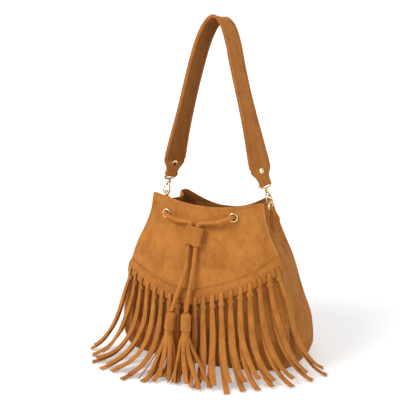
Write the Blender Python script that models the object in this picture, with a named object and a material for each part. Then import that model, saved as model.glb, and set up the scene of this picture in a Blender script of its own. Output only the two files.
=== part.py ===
"""Fringed suede bag with a drawstring front, gold hardware and one shoulder strap.

Frame: origin at the middle of the base on the floor, X to the right, Y to the back, Z up.
The front faces -Y. Every length is in metres.
"""

import math
import random

import bmesh
import bpy
import numpy as np
from mathutils import Matrix, Vector

# Driving dimensions.
MM = 0.001
SHELL = 2.4 * MM            # suede and lining together
SEAM_GAP = 0.35 * MM        # clear space between two panels at a seam
HEM_RADIUS = 12 * MM        # how the walls turn in at the floor
FLOOR_LIFT = 0.8 * MM       # lowest edge of the side walls
BOTTOM_THICK = 3 * MM
BASE_GAP = 0.18 * MM        # base panel to the walls that it is sewn to

# Outline of the bag at rising heights: where the front and back seams are, and how far each
# panel bulges out of the straight line between its seams.
HEIGHTS = (0.0, 0.025, 0.060, 0.100, 0.130, 0.160, 0.190, 0.220, 0.245, 0.275)
FRONT_X = (0.126, 0.138, 0.140, 0.137, 0.133, 0.128, 0.118, 0.104, 0.095, 0.090)
FRONT_Y = (0.058, 0.060, 0.060, 0.057, 0.054, 0.051, 0.049, 0.047, 0.046, 0.045)
FRONT_BULGE = (0.020, 0.029, 0.038, 0.042, 0.042, 0.038, 0.030, 0.020, 0.014, 0.009)
SIDE_BULGE = (0.024, 0.025, 0.022, 0.016, 0.010, 0.004, -0.003, -0.003, 0.004, 0.012)
BACK_X = (0.125, 0.137, 0.136, 0.128, 0.121, 0.112, 0.100, 0.089, 0.081, 0.073)
BACK_Y = (0.062, 0.066, 0.066, 0.063, 0.060, 0.057, 0.053, 0.049, 0.045, 0.042)
BACK_BULGE = (0.016, 0.021, 0.024, 0.026, 0.025, 0.022, 0.017, 0.012, 0.009, 0.006)
FOLD_DEPTH = (0.0, 0.0, 0.0, 0.0, 0.0, 0.0, 0.003, 0.009, 0.015, 0.020)

# Height of the rim along each panel.
FRONT_CORNER_Z = 0.274
FRONT_DIP = 0.012
RIDGE_Z = 0.2485
BACK_CORNER_Z = 0.259
BACK_DIP = 0.029

# Fringe band: height of its lower edge across the front, from left seam to right seam.
BAND_ACROSS = (-1.0, -0.75, -0.42, -0.12, 0.15, 0.40, 0.65, 0.82, 1.0)
BAND_EDGE_Z = (0.138, 0.130, 0.120, 0.115, 0.123, 0.134, 0.147, 0.158, 0.172)
BAND_HEIGHT = 0.022
BAND_THICK = 1.6 * MM
BAND_OFF_TOP = 0.4 * MM
BAND_OFF_EDGE = 3.0 * MM
SLOT_LOW = 6.4 * MM
SLOT_HIGH = 13.6 * MM
SLOT_WIDE = 6.4 * MM

# Fringe.
KNOTS = 19
KNOT_REACH = 0.940
KNOT_WIDE = 8.6 * MM
KNOT_DEEP = 6.2 * MM
KNOT_TALL = 9.6 * MM
LOOP_WIDE = 4.8 * MM
THONG_THICK = 1.5 * MM
LOOP_RISE = 10.2 * MM
TAIL_TOP = 5.6 * MM
TAIL_WIDE = 9.2 * MM
LAYER = 3.7 * MM            # front tail to rear tail of one knot
TUCK_BEHIND = 0.024         # shorter flare behind the two tassels
TAIL_POINTS = 9
TIP_AT = (-1.0, -0.5, 0.0, 0.5, 1.0)
TIP_ANGLE = (-1.16, -0.62, 0.03, 0.72, 1.44)
TIP_ANGLES = (-1.25, -0.95, -0.75, -0.50, -0.25, 0.0, 0.22, 0.42, 0.65, 0.90, 1.10, 1.30, 1.50)
TIP_OUT = (0.210, 0.207, 0.203, 0.190, 0.174, 0.163, 0.160, 0.167, 0.172, 0.180, 0.194, 0.199, 0.200)

# Drawstring, slider, tassels and eyelets.
CORD_WIDE = 6.6 * MM
EYELET_HALF = 0.0560
EYELET_MIDDLE = -0.0095
EYELET_Z = {"left": 0.2445, "right": 0.2500}
EYELET_OUTER = 7.3 * MM
EYELET_BARREL = 5.2 * MM
EYELET_BORE = 4.3 * MM
SLIDER_SIZE = (0.0290, 0.0120, 0.0290)
SLIDER_CENTRE = (-0.0125, -0.0755, 0.2195)
CORD_APART = 12.4 * MM
HEAD_RADIUS = 8.4 * MM
HEAD_TALL = 0.030
LEFT_HEAD = (-0.0340, -0.1155, 0.1060)
RIGHT_HEAD = (-0.0095, -0.1160, 0.1080)
SKIRT_STRANDS = 9

# Side tabs, rings, hooks and strap.
WIRE = 1.3 * MM
RING_BAR = (0.0890, 0.0, 0.2535)
RING_RADIUS = 10.0 * MM
TAB_WIDE = 12.5 * MM
TAB_LOW = 0.214
TAB_THICK = 2.4 * MM
HOOK_LEAN = math.radians(17)
HOOK_DROP = 3.5 * MM        # ring wire down to the hook's lowest wire, centre to centre
GATE_PIN = (3.7, 13.1)      # across and up the hook, in millimetres
BOW_HALF = 11.6 * MM
STRAP_WIDE = 0.039
STRAP_END = 0.0175
STRAP_THICK = 4.4 * MM
STRAP_TURN_FOOT = math.radians(37)
STRAP_TURN_TOP = math.radians(16)
STRAP_ROUTE = ((0.0745, 0.312), (0.0690, 0.336), (0.0610, 0.366), (0.0515, 0.404),
               (0.0420, 0.442), (0.0330, 0.478), (0.0245, 0.510), (0.0140, 0.5345))
STRAP_TOP_Z = 0.5455
STRAP_SWAY = 0.0040         # the arch stands this much to the left of the middle
RIVET_RADIUS = 4.1 * MM

# Zip pocket on the inside of the back.
ZIP_HALF = 0.056
ZIP_Z = 0.222
ZIP_TAPE = (0.0200, 0.9 * MM)
ZIP_PARK = -0.0440


for item in list(bpy.data.objects):
    bpy.data.objects.remove(item)
rng = random.Random(11)


def material(name, colour, roughness, metallic=0.0):
    made = bpy.data.materials.new(name)
    made.use_nodes = True
    shader = made.node_tree.nodes["Principled BSDF"]
    shader.inputs["Base Color"].default_value = (*colour, 1.0)
    shader.inputs["Roughness"].default_value = roughness
    shader.inputs["Metallic"].default_value = metallic
    made.diffuse_color = (*colour, 1.0)
    return made


SUEDE = (0.46, 0.185, 0.050)
SUEDE_DARK = (0.36, 0.135, 0.036)
GOLD = (0.83, 0.60, 0.27)
DARK_METAL = (0.18, 0.16, 0.14)


def add(name, points, faces, colour=SUEDE, roughness=0.95, metallic=0.0):
    """A mesh object from points and faces, with its faces turned outward."""
    mesh = bpy.data.meshes.new(name)
    mesh.from_pydata([tuple(map(float, p)) for p in points], [], [tuple(f) for f in faces])
    work = bmesh.new()
    work.from_mesh(mesh)
    bmesh.ops.remove_doubles(work, verts=work.verts, dist=1e-7)
    bmesh.ops.recalc_face_normals(work, faces=work.faces)
    work.to_mesh(mesh)
    work.free()
    made = bpy.data.objects.new(name, mesh)
    bpy.context.scene.collection.objects.link(made)
    made.data.materials.append(material(name, colour, roughness, metallic))
    return made


def triangulate(obj):
    work = bmesh.new()
    work.from_mesh(obj.data)
    bmesh.ops.triangulate(work, faces=work.faces)
    work.to_mesh(obj.data)
    work.free()


def combine(base, others, operation="UNION"):
    """Join or cut with exact Booleans, applied, and the helpers removed."""
    for other in others:
        triangulate(base)
        triangulate(other)
        cut = base.modifiers.new("cut", "BOOLEAN")
        cut.operation = operation
        cut.solver = "EXACT"
        cut.object = other
        bpy.context.view_layer.update()
        graph = bpy.context.evaluated_depsgraph_get()
        mesh = bpy.data.meshes.new_from_object(base.evaluated_get(graph))
        base.modifiers.remove(cut)
        old = base.data
        keep = old.materials[0]
        base.data = mesh
        mesh.materials.clear()
        mesh.materials.append(keep)
        for face in mesh.polygons:
            face.material_index = 0
        bpy.data.meshes.remove(old)
        work = bmesh.new()
        work.from_mesh(mesh)
        bmesh.ops.remove_doubles(work, verts=work.verts, dist=2e-6)
        bmesh.ops.dissolve_degenerate(work, edges=work.edges, dist=1e-6)
        bmesh.ops.dissolve_limit(work, angle_limit=0.004, verts=work.verts, edges=work.edges)
        bmesh.ops.triangulate(work, faces=work.faces)
        work.to_mesh(mesh)
        work.free()
        spare = other.data
        bpy.data.objects.remove(other)
        bpy.data.meshes.remove(spare)
    return base


def slab(name, outer, inner, **look):
    """A closed sheet between two grids of points of the same shape."""
    rows, cols = outer.shape[:2]
    points = np.concatenate([outer.reshape(-1, 3), inner.reshape(-1, 3)])
    half = rows * cols

    def at(i, j, side):
        return i * cols + j + side * half

    faces = []
    for i in range(rows - 1):
        for j in range(cols - 1):
            faces.append((at(i, j, 0), at(i, j + 1, 0), at(i + 1, j + 1, 0), at(i + 1, j, 0)))
            faces.append((at(i, j, 1), at(i + 1, j, 1), at(i + 1, j + 1, 1), at(i, j + 1, 1)))
    for j in range(cols - 1):
        for i in (0, rows - 1):
            faces.append((at(i, j, 0), at(i, j, 1), at(i, j + 1, 1), at(i, j + 1, 0)))
    for i in range(rows - 1):
        for j in (0, cols - 1):
            faces.append((at(i, j, 0), at(i + 1, j, 0), at(i + 1, j, 1), at(i, j, 1)))
    return add(name, points, faces, **look)


def loft(name, rings, closed=False, **look):
    """A tube through rings of points, capped at its ends unless it closes on itself."""
    rings = [np.asarray(r) for r in rings]
    n = len(rings[0])
    points = np.concatenate(rings)
    faces = []
    count = len(rings)
    for i in range(count if closed else count - 1):
        a, b = i * n, ((i + 1) % count) * n
        for j in range(n):
            k = (j + 1) % n
            faces.append((a + j, a + k, b + k, b + j))
    if not closed:
        faces.append(tuple(range(n - 1, -1, -1)))
        faces.append(tuple(range((count - 1) * n, count * n)))
    return add(name, points, faces, **look)


def lathe(name, profile, centre, axis, steps=20, closed=False, **look):
    """Turn (radius, along) points round an axis; a closed profile makes a ring."""
    centre, axis = np.asarray(centre, float), unit(axis)
    side = unit(np.cross(axis, (0, 0, 1) if abs(axis[2]) < 0.9 else (1, 0, 0)))
    up = np.cross(axis, side)
    rings = []
    for k in range(steps):
        t = 2 * math.pi * k / steps
        out = side * math.cos(t) + up * math.sin(t)
        rings.append([centre + out * r + axis * h for r, h in profile])
    if closed:
        return loft(name, rings, closed=True, **look)
    n = len(profile)
    points = np.concatenate([np.asarray(r) for r in rings])
    faces = []
    for i in range(steps):
        a, b = i * n, ((i + 1) % steps) * n
        for j in range(n - 1):
            faces.append((a + j, a + j + 1, b + j + 1, b + j))
    faces.append(tuple(i * n for i in range(steps)))
    faces.append(tuple(i * n + n - 1 for i in range(steps)))
    return add(name, points, faces, **look)


def unit(v):
    v = np.asarray(v, float)
    return v / np.linalg.norm(v)


def smooth(x, xs, ys):
    """A smooth curve through a short table, without overshoot."""
    xs, ys = np.asarray(xs, float), np.asarray(ys, float)
    step = np.diff(ys) / np.diff(xs)
    slope = np.empty_like(ys)
    slope[0], slope[-1] = step[0], step[-1]
    product = step[:-1] * step[1:]
    slope[1:-1] = np.where(product > 0, 2 * product / np.where(product > 0, step[:-1] + step[1:], 1), 0)
    x = min(max(float(x), xs[0]), xs[-1])
    i = min(int(np.searchsorted(xs, x, side="right")) - 1, len(xs) - 2)
    h = xs[i + 1] - xs[i]
    t = (x - xs[i]) / h
    return float(ys[i] * (1 + 2 * t) * (1 - t) ** 2 + slope[i] * h * t * (1 - t) ** 2
                 + ys[i + 1] * t * t * (3 - 2 * t) + slope[i + 1] * h * t * t * (t - 1))


def spline(points, count):
    """Points spread evenly along a smooth curve through hand-chosen ones."""
    p = np.asarray(points, float)
    p = np.vstack([2 * p[0] - p[1], p, 2 * p[-1] - p[-2]])
    fine = []
    for i in range(1, len(p) - 2):
        for t in np.linspace(0, 1, 24, endpoint=False):
            fine.append(0.5 * (2 * p[i] + (p[i + 1] - p[i - 1]) * t
                               + (2 * p[i - 1] - 5 * p[i] + 4 * p[i + 1] - p[i + 2]) * t * t
                               + (3 * p[i] - p[i - 1] - 3 * p[i + 1] + p[i + 2]) * t ** 3))
    fine.append(p[-2])
    fine = np.asarray(fine)
    run = np.concatenate([[0], np.cumsum(np.linalg.norm(np.diff(fine, axis=0), axis=1))])
    wanted = np.linspace(0, run[-1], count)
    return np.stack([np.interp(wanted, run, fine[:, k]) for k in range(3)], axis=1)


# The body's outline. A panel is named, s runs from -1 to 1 along it, anticlockwise from above.
def plan(panel, s, z):
    fx, fy, bulge = (smooth(z, HEIGHTS, t) for t in (FRONT_X, FRONT_Y, FRONT_BULGE))
    bx, by, back = (smooth(z, HEIGHTS, t) for t in (BACK_X, BACK_Y, BACK_BULGE))
    if panel == "front":
        return np.array([fx * s, -fy - bulge * (1 - abs(s) ** 2.6)])
    if panel == "back":
        return np.array([-bx * s, by + back * (1 - abs(s) ** 4)])
    side = smooth(z, HEIGHTS, SIDE_BULGE)
    fold = smooth(z, HEIGHTS, FOLD_DEPTH)
    t = (s + 1) / 2 if panel == "right" else (1 - s) / 2
    x = fx + (bx - fx) * t + side * (1 - abs(2 * t - 1) ** 2.4)
    x -= fold * math.sin(math.pi * 2 * t) ** 2
    y = -fy + (by + fy) * t
    return np.array([x, y] if panel == "right" else [-x, y])


ORDER = ("front", "right", "back", "left")


def facing(panel, s, z):
    """Outward direction at a place on the outline, shared at the seams between two panels."""
    def own(name, t):
        a, b = plan(name, t - 0.01, z), plan(name, t + 0.01, z)
        return unit((b[1] - a[1], a[0] - b[0]))

    here = own(panel, max(-0.99, min(0.99, s)))
    near = max(0.0, (abs(s) - 0.9) / 0.1)
    if near <= 0:
        return here, 1.0
    i = ORDER.index(panel)
    other = own(ORDER[(i + 1) % 4], -0.99) if s > 0 else own(ORDER[i - 1], 0.99)
    edge = own(panel, 0.99 if s > 0 else -0.99)
    shared = unit(edge + other)
    near = near * near * (3 - 2 * near)
    stretch = 1 / max(0.5, float(shared @ edge))
    return unit(here * (1 - near) + shared * near), 1 + (stretch - 1) * near


def rim(panel, s):
    if panel == "front":
        return FRONT_CORNER_Z - FRONT_DIP * (1 - s * s) ** 1.4
    if panel == "back":
        return BACK_CORNER_Z - BACK_DIP * (1 - s * s) ** 1.4
    t = s if panel == "right" else -s
    return smooth(t, (-1, -0.5, 0, 0.5, 1),
                  (FRONT_CORNER_Z, 0.262, RIDGE_Z, 0.250, BACK_CORNER_Z))


def skin(panel, s, z, off=0.0):
    """A point on the bag's outside, or off it by a distance along the outward direction."""
    out, stretch = facing(panel, s, z)
    tuck = 0.0
    if z < HEM_RADIUS:
        tuck = HEM_RADIUS - math.sqrt(HEM_RADIUS ** 2 - (HEM_RADIUS - z) ** 2)
        tuck *= 0.45
    xy = plan(panel, s, z) + out * ((off - tuck) * (stretch if off < 0 else 1.0))
    return np.array([xy[0], xy[1], z])


def panel_grid(panel):
    """How far a panel reaches towards its seams, and its number of columns."""
    wide = 0.10 if panel in ("front", "back") else 0.05
    return 1 - SEAM_GAP / 2 / wide, {"front": 19, "back": 11}.get(panel, 13)


def panel_sheet(name, panel, rows):
    reach, cols = panel_grid(panel)
    outer, inner = [], []
    for v in rows:
        line_out, line_in = [], []
        for s in np.linspace(-reach, reach, cols):
            z = FLOOR_LIFT + v * (rim(panel, s) - FLOOR_LIFT)
            line_out.append(skin(panel, s, z))
            line_in.append(skin(panel, s, z, -SHELL))
        outer.append(line_out)
        inner.append(line_in)
    return slab(name, np.array(outer), np.array(inner))


ROWS = (0, 0.018, 0.045, 0.11, 0.21, 0.33, 0.45, 0.57, 0.68, 0.78, 0.87, 0.94, 1.0)
front = panel_sheet("front_panel", "front", ROWS)
back = panel_sheet("back_panel", "back", ROWS)
panel_sheet("right_gusset", "right", ROWS)
panel_sheet("left_gusset", "left", ROWS)


def bottom_plate():
    ring = []
    for panel in ORDER:
        reach, cols = panel_grid(panel)
        for s in np.linspace(-reach, reach, cols):
            ring.append(skin(panel, s, FLOOR_LIFT, -(SHELL + BASE_GAP))[:2])
    low = [(x, y, 0.0) for x, y in ring]
    high = [(x, y, BOTTOM_THICK) for x, y in ring]
    return loft("bottom_panel", [low, high], colour=SUEDE_DARK)


bottom_plate()


# Eyelets, and the holes for them.
def surface_normal(panel, s, z):
    across = skin(panel, s + 0.02, z) - skin(panel, s - 0.02, z)
    up = skin(panel, s, z + 0.003) - skin(panel, s, z - 0.003)
    n = unit(np.cross(across, up))
    return n if n @ np.append(facing(panel, s, z)[0], 0) > 0 else -n


EYELETS = {}
for side, sign in (("left", -1), ("right", 1)):
    high = EYELET_Z[side]
    s = (EYELET_MIDDLE + sign * EYELET_HALF) / smooth(high, HEIGHTS, FRONT_X)
    normal = surface_normal("front", s, high)
    middle = skin("front", s, high) - normal * SHELL / 2
    EYELETS[side] = (middle, normal)
    hole = lathe("hole", [(EYELET_BARREL + 0.4 * MM, -0.01), (EYELET_BARREL + 0.4 * MM, 0.01)],
                 middle, normal, steps=16)
    combine(front, [hole], "DIFFERENCE")
    face = SHELL / 2 + 0.75 * MM
    lathe(side + "_eyelet",
          [(EYELET_BORE, -face - 0.7 * MM), (EYELET_BORE, face + 0.9 * MM),
           (EYELET_BORE + 0.6 * MM, face + 1.5 * MM), (EYELET_OUTER - 0.9 * MM, face + 1.1 * MM),
           (EYELET_OUTER, face), (EYELET_BARREL, face), (EYELET_BARREL, -face),
           (EYELET_OUTER - 0.6 * MM, -face), (EYELET_OUTER - 0.8 * MM, -face - 0.7 * MM)],
          middle, normal, steps=16, closed=True, colour=GOLD, roughness=0.3, metallic=1.0)


# Fringe band with its slots.
def band_edge(s):
    return smooth(s, BAND_ACROSS, BAND_EDGE_Z)


KNOT_S = np.linspace(-KNOT_REACH, KNOT_REACH, KNOTS)


def front_reach(s, z):
    """How much s changes for a metre along the front at this place."""
    d = np.linalg.norm(plan("front", s + 0.01, z) - plan("front", s - 0.01, z)) / 0.02
    return 1 / d


def band():
    lines = [-0.996]
    marks = [False]
    for i, s in enumerate(KNOT_S):
        half = SLOT_WIDE / 2 * front_reach(s, band_edge(s))
        lo, hi = max(s - half, -0.992), min(s + half, 0.992)
        lines += [lo, hi]
        marks += [True, False]
    lines.append(0.996)
    rises = (0.0, SLOT_LOW, SLOT_HIGH, BAND_HEIGHT)
    offs = (BAND_OFF_EDGE, BAND_OFF_EDGE, BAND_OFF_EDGE, BAND_OFF_TOP)
    rows, cols = len(rises), len(lines)
    points = []
    for extra in (BAND_THICK, 0.0):
        for rise, off in zip(rises, offs):
            for s in lines:
                points.append(skin("front", s, band_edge(s) + rise, off + extra))
    half = rows * cols

    def at(i, j, side):
        return i * cols + j + side * half

    faces = []
    for i in range(rows - 1):
        for j in range(cols - 1):
            if i == 1 and marks[j]:
                for a, b in (((i, j), (i, j + 1)), ((i, j + 1), (i + 1, j + 1)),
                             ((i + 1, j + 1), (i + 1, j)), ((i + 1, j), (i, j))):
                    faces.append((at(*a, 0), at(*b, 0), at(*b, 1), at(*a, 1)))
                continue
            faces.append((at(i, j, 0), at(i, j + 1, 0), at(i + 1, j + 1, 0), at(i + 1, j, 0)))
            faces.append((at(i, j, 1), at(i + 1, j, 1), at(i + 1, j + 1, 1), at(i, j + 1, 1)))
    for j in range(cols - 1):
        for i in (0, rows - 1):
            faces.append((at(i, j, 0), at(i, j, 1), at(i, j + 1, 1), at(i, j + 1, 0)))
    for i in range(rows - 1):
        for j in (0, cols - 1):
            faces.append((at(i, j, 0), at(i + 1, j, 0), at(i + 1, j, 1), at(i, j, 1)))
    return add("fringe_band", points, faces)


band()


# Fringe: one folded thong for each knot, with a loop through the band and two tails.
def strip(name, path, widths, across, thick):
    """A flat strip along a path; across gives its width direction at each point."""
    rings = []
    for i, p in enumerate(path):
        a = path[max(i - 1, 0)]
        b = path[min(i + 1, len(path) - 1)]
        run = unit(b - a)
        w = across[i] - run * (across[i] @ run)
        w = unit(w)
        n = np.cross(run, w)
        hw, ht = widths[i] / 2, thick / 2
        rings.append([p - w * hw + n * ht, p - w * hw - n * ht,
                      p + w * hw - n * ht, p + w * hw + n * ht])
    return loft(name, rings)


OUTLINES = {}


def outline(z):
    """The whole outline at one height, as points and outward directions."""
    key = round(z / 0.002) * 0.002
    if key not in OUTLINES:
        points, ways = [], []
        for panel in ORDER:
            for s in np.linspace(-1, 1, 41)[:-1]:
                points.append(skin(panel, s, max(key, HEM_RADIUS))[:2])
                ways.append(facing(panel, s, key)[0])
        OUTLINES[key] = (np.array(points), np.array(ways))
    return OUTLINES[key]


def keep_off(xy, z, need):
    """Moves a point out until it is clear of the bag by the wanted distance."""
    points, ways = outline(z)
    for _ in range(3):
        i = int(np.argmin(((points - xy) ** 2).sum(axis=1)))
        away = float((xy - points[i]) @ ways[i])
        if away >= need:
            break
        xy = xy + ways[i] * (need - away)
    return xy


def tail_path(s, top, first, layer, swing, share_out, lift):
    """From under the knot down over the bag and out along the floor."""
    z0 = top[2]
    angle = smooth(s, TIP_AT, TIP_ANGLE) + swing
    far = smooth(angle, TIP_ANGLES, TIP_OUT)
    far -= TUCK_BEHIND * math.exp(-((top[0] + 0.020) / 0.028) ** 4)
    tip = np.array([math.sin(angle), -math.cos(angle)]) * far
    start = top[:2]
    route = []
    ease = 1 - 0.42 * max(0.0, min(1.0, (abs(s) - 0.66) / 0.26))
    for t, share, height in ((0, 0, 1.0), (0.10, 0.01, 0.88), (0.22, 0.04, 0.72),
                             (0.36, 0.10, 0.53), (0.50, 0.20, 0.345), (0.63, 0.35, 0.195),
                             (0.75, 0.53, 0.092), (0.87, 0.76, 0.030), (1.0, 1.0, 0.0)):
        xy = start + (tip - start) * share ** ease
        z = 1.6 * MM + (z0 - 1.6 * MM) * height
        if t > 0:
            xy = keep_off(xy, z, 2.2 * MM if t < 0.3 else 2.6 * MM)
        route.append((xy[0], xy[1], z))
    fine = spline(route, 61)
    for i in range(6, 61):
        fine[i, :2] = keep_off(fine[i, :2], fine[i, 2], 2.5 * MM)
    fine = fine[: int(round(61 * share_out))]
    pts = fine[np.linspace(0, len(fine) - 1, TAIL_POINTS).round().astype(int)]
    across, lifted = [], []
    for i, p in enumerate(pts):
        t = i / (len(pts) - 1)
        run = unit(pts[min(i + 1, len(pts) - 1)] - pts[max(i - 1, 0)])
        way = run[:2] if np.linalg.norm(run[:2]) > 0.15 else tip - start
        side = unit(np.cross((0, 0, 1), np.append(way, 0)))
        points, ways = outline(p[2])
        near = int(np.argmin(((points - p[:2]) ** 2).sum(axis=1)))
        away = float((p[:2] - points[near]) @ ways[near])
        hug = np.array([-ways[near][1], ways[near][0], 0.0])
        hug = hug if hug @ first > 0 else -hug
        side = side if side @ hug > 0 else -side
        free = max(0.0, min(1.0, (away - 5 * MM) / 0.022))
        side = unit(hug * (1 - free) + side * free)
        blend = min(1.0, t / 0.25)
        w = unit(first * (1 - blend) + side * blend)
        w = unit(w - run * (w @ run))
        out = np.cross(w, run)
        outward = np.append(ways[near] * (1 - free), free + 0.01)
        if out @ outward < 0:
            out = -out
        across.append(w)
        lifted.append(p + out * layer * LAYER + np.array([0, 0, lift * t ** 6]))
    return np.array(lifted), across


def knot(index, s):
    z = band_edge(s)
    normal = surface_normal("front", s, z)
    foot = skin("front", s, z)
    up = skin("front", s, z + LOOP_RISE) - foot
    up = unit(up - normal * (up @ normal))
    wide = unit(np.cross(up, normal))
    edge = skin("front", s + 0.02, band_edge(s + 0.02)) - skin("front", s - 0.02, band_edge(s - 0.02))
    slope = abs(edge @ up) / abs(edge @ wide)
    sunk = 0.9 * MM + KNOT_WIDE / 2 * slope

    def at(n, k, w=0.0):
        return foot + normal * n + up * k + wide * w

    name = f"fringe_{index + 1:02d}"
    off = BAND_OFF_EDGE + BAND_THICK / 2
    inner = off - BAND_THICK / 2 - 0.65 * MM - THONG_THICK / 2
    outer = off + BAND_THICK / 2 + 0.5 * MM + THONG_THICK / 2
    mid = (inner + outer) / 2
    top = LOOP_RISE
    loop_path = [at(outer, -1.8 * MM - sunk), at(outer - 0.1 * MM, top - 0.8 * MM), at(mid, top),
                 at(inner + 0.1 * MM, top - 0.8 * MM), at(inner, -1.8 * MM - sunk)]
    loop = strip("loop", np.array(loop_path), [LOOP_WIDE] * 5, [wide] * 5, THONG_THICK)
    rings = []
    centre = max(mid + 0.3 * MM, KNOT_DEEP / 2 + 0.6 * MM)
    for k, size in ((0.0, 0.74), (-1.8, 1.03), (-7.4, 1.03), (-9.4, 0.80)):
        rings.append([at(centre + math.sin(a) * KNOT_DEEP / 2 * size, k * MM * KNOT_TALL / 0.0094 - sunk,
                         math.cos(a) * KNOT_WIDE / 2 * size)
                      for a in np.linspace(0, 2 * math.pi, 8, endpoint=False)])
    body = loft(name, rings)
    pieces = [loop]
    for layer, sign in ((0, -1), (1, 1)):
        start = at(centre - LAYER / 2, -6.4 * MM - sunk)
        swing = rng.uniform(-0.02, 0.02) + sign * 0.018
        trim = rng.uniform(0.90, 1.0) if layer == 0 else rng.uniform(0.84, 0.96)
        pts, across = tail_path(s, start, wide, layer, swing, trim, rng.uniform(0, 5) * MM * layer)
        widths = [TAIL_TOP + (TAIL_WIDE - TAIL_TOP) * min(1, i / 4) for i in range(len(pts))]
        pieces.append(strip(f"tail_{layer}", pts, widths, across, THONG_THICK + 0.2 * MM))
    return combine(body, pieces)


for number, place in enumerate(KNOT_S):
    knot(number, place)


# Drawstring: one cord, in through both eyelets, with its two ends hanging to the tassels.
def cord_route():
    points = []
    slope = unit(np.array([0, LEFT_HEAD[1] - SLIDER_CENTRE[1], LEFT_HEAD[2] - SLIDER_CENTRE[2]]))
    slider = np.array(SLIDER_CENTRE)
    across = np.array([CORD_APART / 2, 0, 0])
    reach = slope * 0.052

    def half(side):
        sign = -1 if side == "left" else 1
        head = np.array(LEFT_HEAD if side == "left" else RIGHT_HEAD)
        eye, out = EYELETS[side]
        line = slider + across * sign
        top = line - slope * (SLIDER_SIZE[2] / 2 + 2 * MM)
        pull = unit(top - eye)
        turn = eye + out * 8.2 * MM
        return [eye - out * 7 * MM, eye, eye + out * 4.5 * MM,
                turn + pull * 2.0 * MM, turn + pull * 9 * MM + out * 1.2 * MM,
                top * 0.36 + (turn + pull * 9 * MM) * 0.64 + out * 1.5 * MM + np.array([0, 0, -1.5 * MM]),
                top - slope * 3.2 * MM + np.array([sign * 3.2 * MM, 0, 0.5 * MM]),
                line - slope * SLIDER_SIZE[2] / 2, line, line + slope * SLIDER_SIZE[2] / 2,
                line + slope * 0.030, line + reach,
                (line + reach) * 0.45 + head * 0.55 + np.array([0, -0.5 * MM, 0]), head]

    left, right = half("left"), half("right")
    behind = []
    for t in np.linspace(-0.82, 0.82, 9):
        high = (EYELET_Z["left"] * (1 - t) + EYELET_Z["right"] * (1 + t)) / 2
        s = (EYELET_MIDDLE + t * EYELET_HALF) / smooth(high, HEIGHTS, FRONT_X)
        p = skin("front", s, high - 4 * MM, -SHELL)
        behind.append(p + np.array([0, 6.5 * MM + CORD_WIDE / 2, 0]))
    return left[::-1] + behind + right


def rod(name, points, radius, colour=GOLD, roughness=0.3, metallic=1.0, sides=3, cyclic=False):
    """A round rod or cord along a path, as a bevelled curve turned into one closed mesh."""
    curve = bpy.data.curves.new(name, "CURVE")
    curve.dimensions = "3D"
    curve.bevel_depth = radius
    curve.bevel_resolution = sides
    curve.use_fill_caps = not cyclic
    line = curve.splines.new("POLY")
    line.points.add(len(points) - 1)
    line.points.foreach_set("co", np.hstack([np.asarray(points), np.ones((len(points), 1))]).ravel())
    line.use_cyclic_u = cyclic
    made = bpy.data.objects.new(name, curve)
    bpy.context.scene.collection.objects.link(made)
    curve.materials.append(material(name, colour, roughness, metallic))
    return made


def as_mesh(obj):
    bpy.context.view_layer.update()
    graph = bpy.context.evaluated_depsgraph_get()
    mesh = bpy.data.meshes.new_from_object(obj.evaluated_get(graph))
    name, keep = obj.name, obj.data.materials[0]
    old = obj.data
    bpy.data.objects.remove(obj)
    bpy.data.curves.remove(old)
    made = bpy.data.objects.new(name, mesh)
    made.name = name
    mesh.materials.clear()
    mesh.materials.append(keep)
    bpy.context.scene.collection.objects.link(made)
    return made


rod("drawstring", spline(cord_route(), 54), CORD_WIDE / 2, SUEDE, 0.95, 0.0, sides=2)


# The suede keeper that slides on both cords.
def box_ring(centre, along, across, size, round_by):
    along, across = unit(along), unit(across)
    deep = np.cross(along, across)
    ring = []
    w, d = size[0] / 2, size[1] / 2
    for k in range(16):
        a = 2 * math.pi * (k + 0.5) / 16
        x = max(-w + round_by, min(w - round_by, math.cos(a) * (w + d) * 0.75))
        y = max(-d + round_by, min(d - round_by, math.sin(a) * (w + d) * 0.75))
        x += round_by * math.cos(a)
        y += round_by * math.sin(a)
        ring.append(centre + across * x + deep * y)
    return ring


def keeper():
    middle = np.array(SLIDER_CENTRE)
    along = unit(np.array([0, LEFT_HEAD[1] - SLIDER_CENTRE[1], LEFT_HEAD[2] - SLIDER_CENTRE[2]]))
    across = np.array([1.0, 0, 0])
    wide, deep, tall = SLIDER_SIZE
    inner = (CORD_APART + CORD_WIDE + 1.0 * MM, CORD_WIDE + 1.0 * MM)
    rings = []
    for t, grow in ((-1, -0.6 * MM), (-0.86, 0.0), (-0.3, -0.2 * MM), (0.3, -0.2 * MM),
                    (0.86, 0.0), (1, -0.6 * MM)):
        rings.append(box_ring(middle + along * t * tall / 2, along, across,
                              (wide + grow, deep + grow), deep / 2 - 0.3 * MM))
    for t in (1, -1):
        rings.append(box_ring(middle + along * t * tall / 2, along, across, inner,
                              inner[1] / 2 - 0.05 * MM))
    loft("cord_slider", rings, closed=True)


keeper()


def drape_y(x, z):
    """How far forward the front layer of the fringe comes at this place."""
    s = max(-0.95, min(0.95, x / 0.136))
    foot = band_edge(s) - 0.008
    start = plan("front", s, foot)[1] - 5.6 * MM
    angle = smooth(s, TIP_AT, TIP_ANGLE)
    far = smooth(angle, TIP_ANGLES, TIP_OUT)
    far -= TUCK_BEHIND * math.exp(-((x + 0.020) / 0.028) ** 4)
    reach = -far * math.cos(angle) - start
    share = smooth(-z, [-foot * h for h in (1, 0.72, 0.53, 0.345, 0.195, 0.092, 0.03, 0)],
                   (0, 0.04, 0.10, 0.20, 0.35, 0.53, 0.76, 1.0))
    return start + reach * share - (LAYER + 2.2 * MM)


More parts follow.
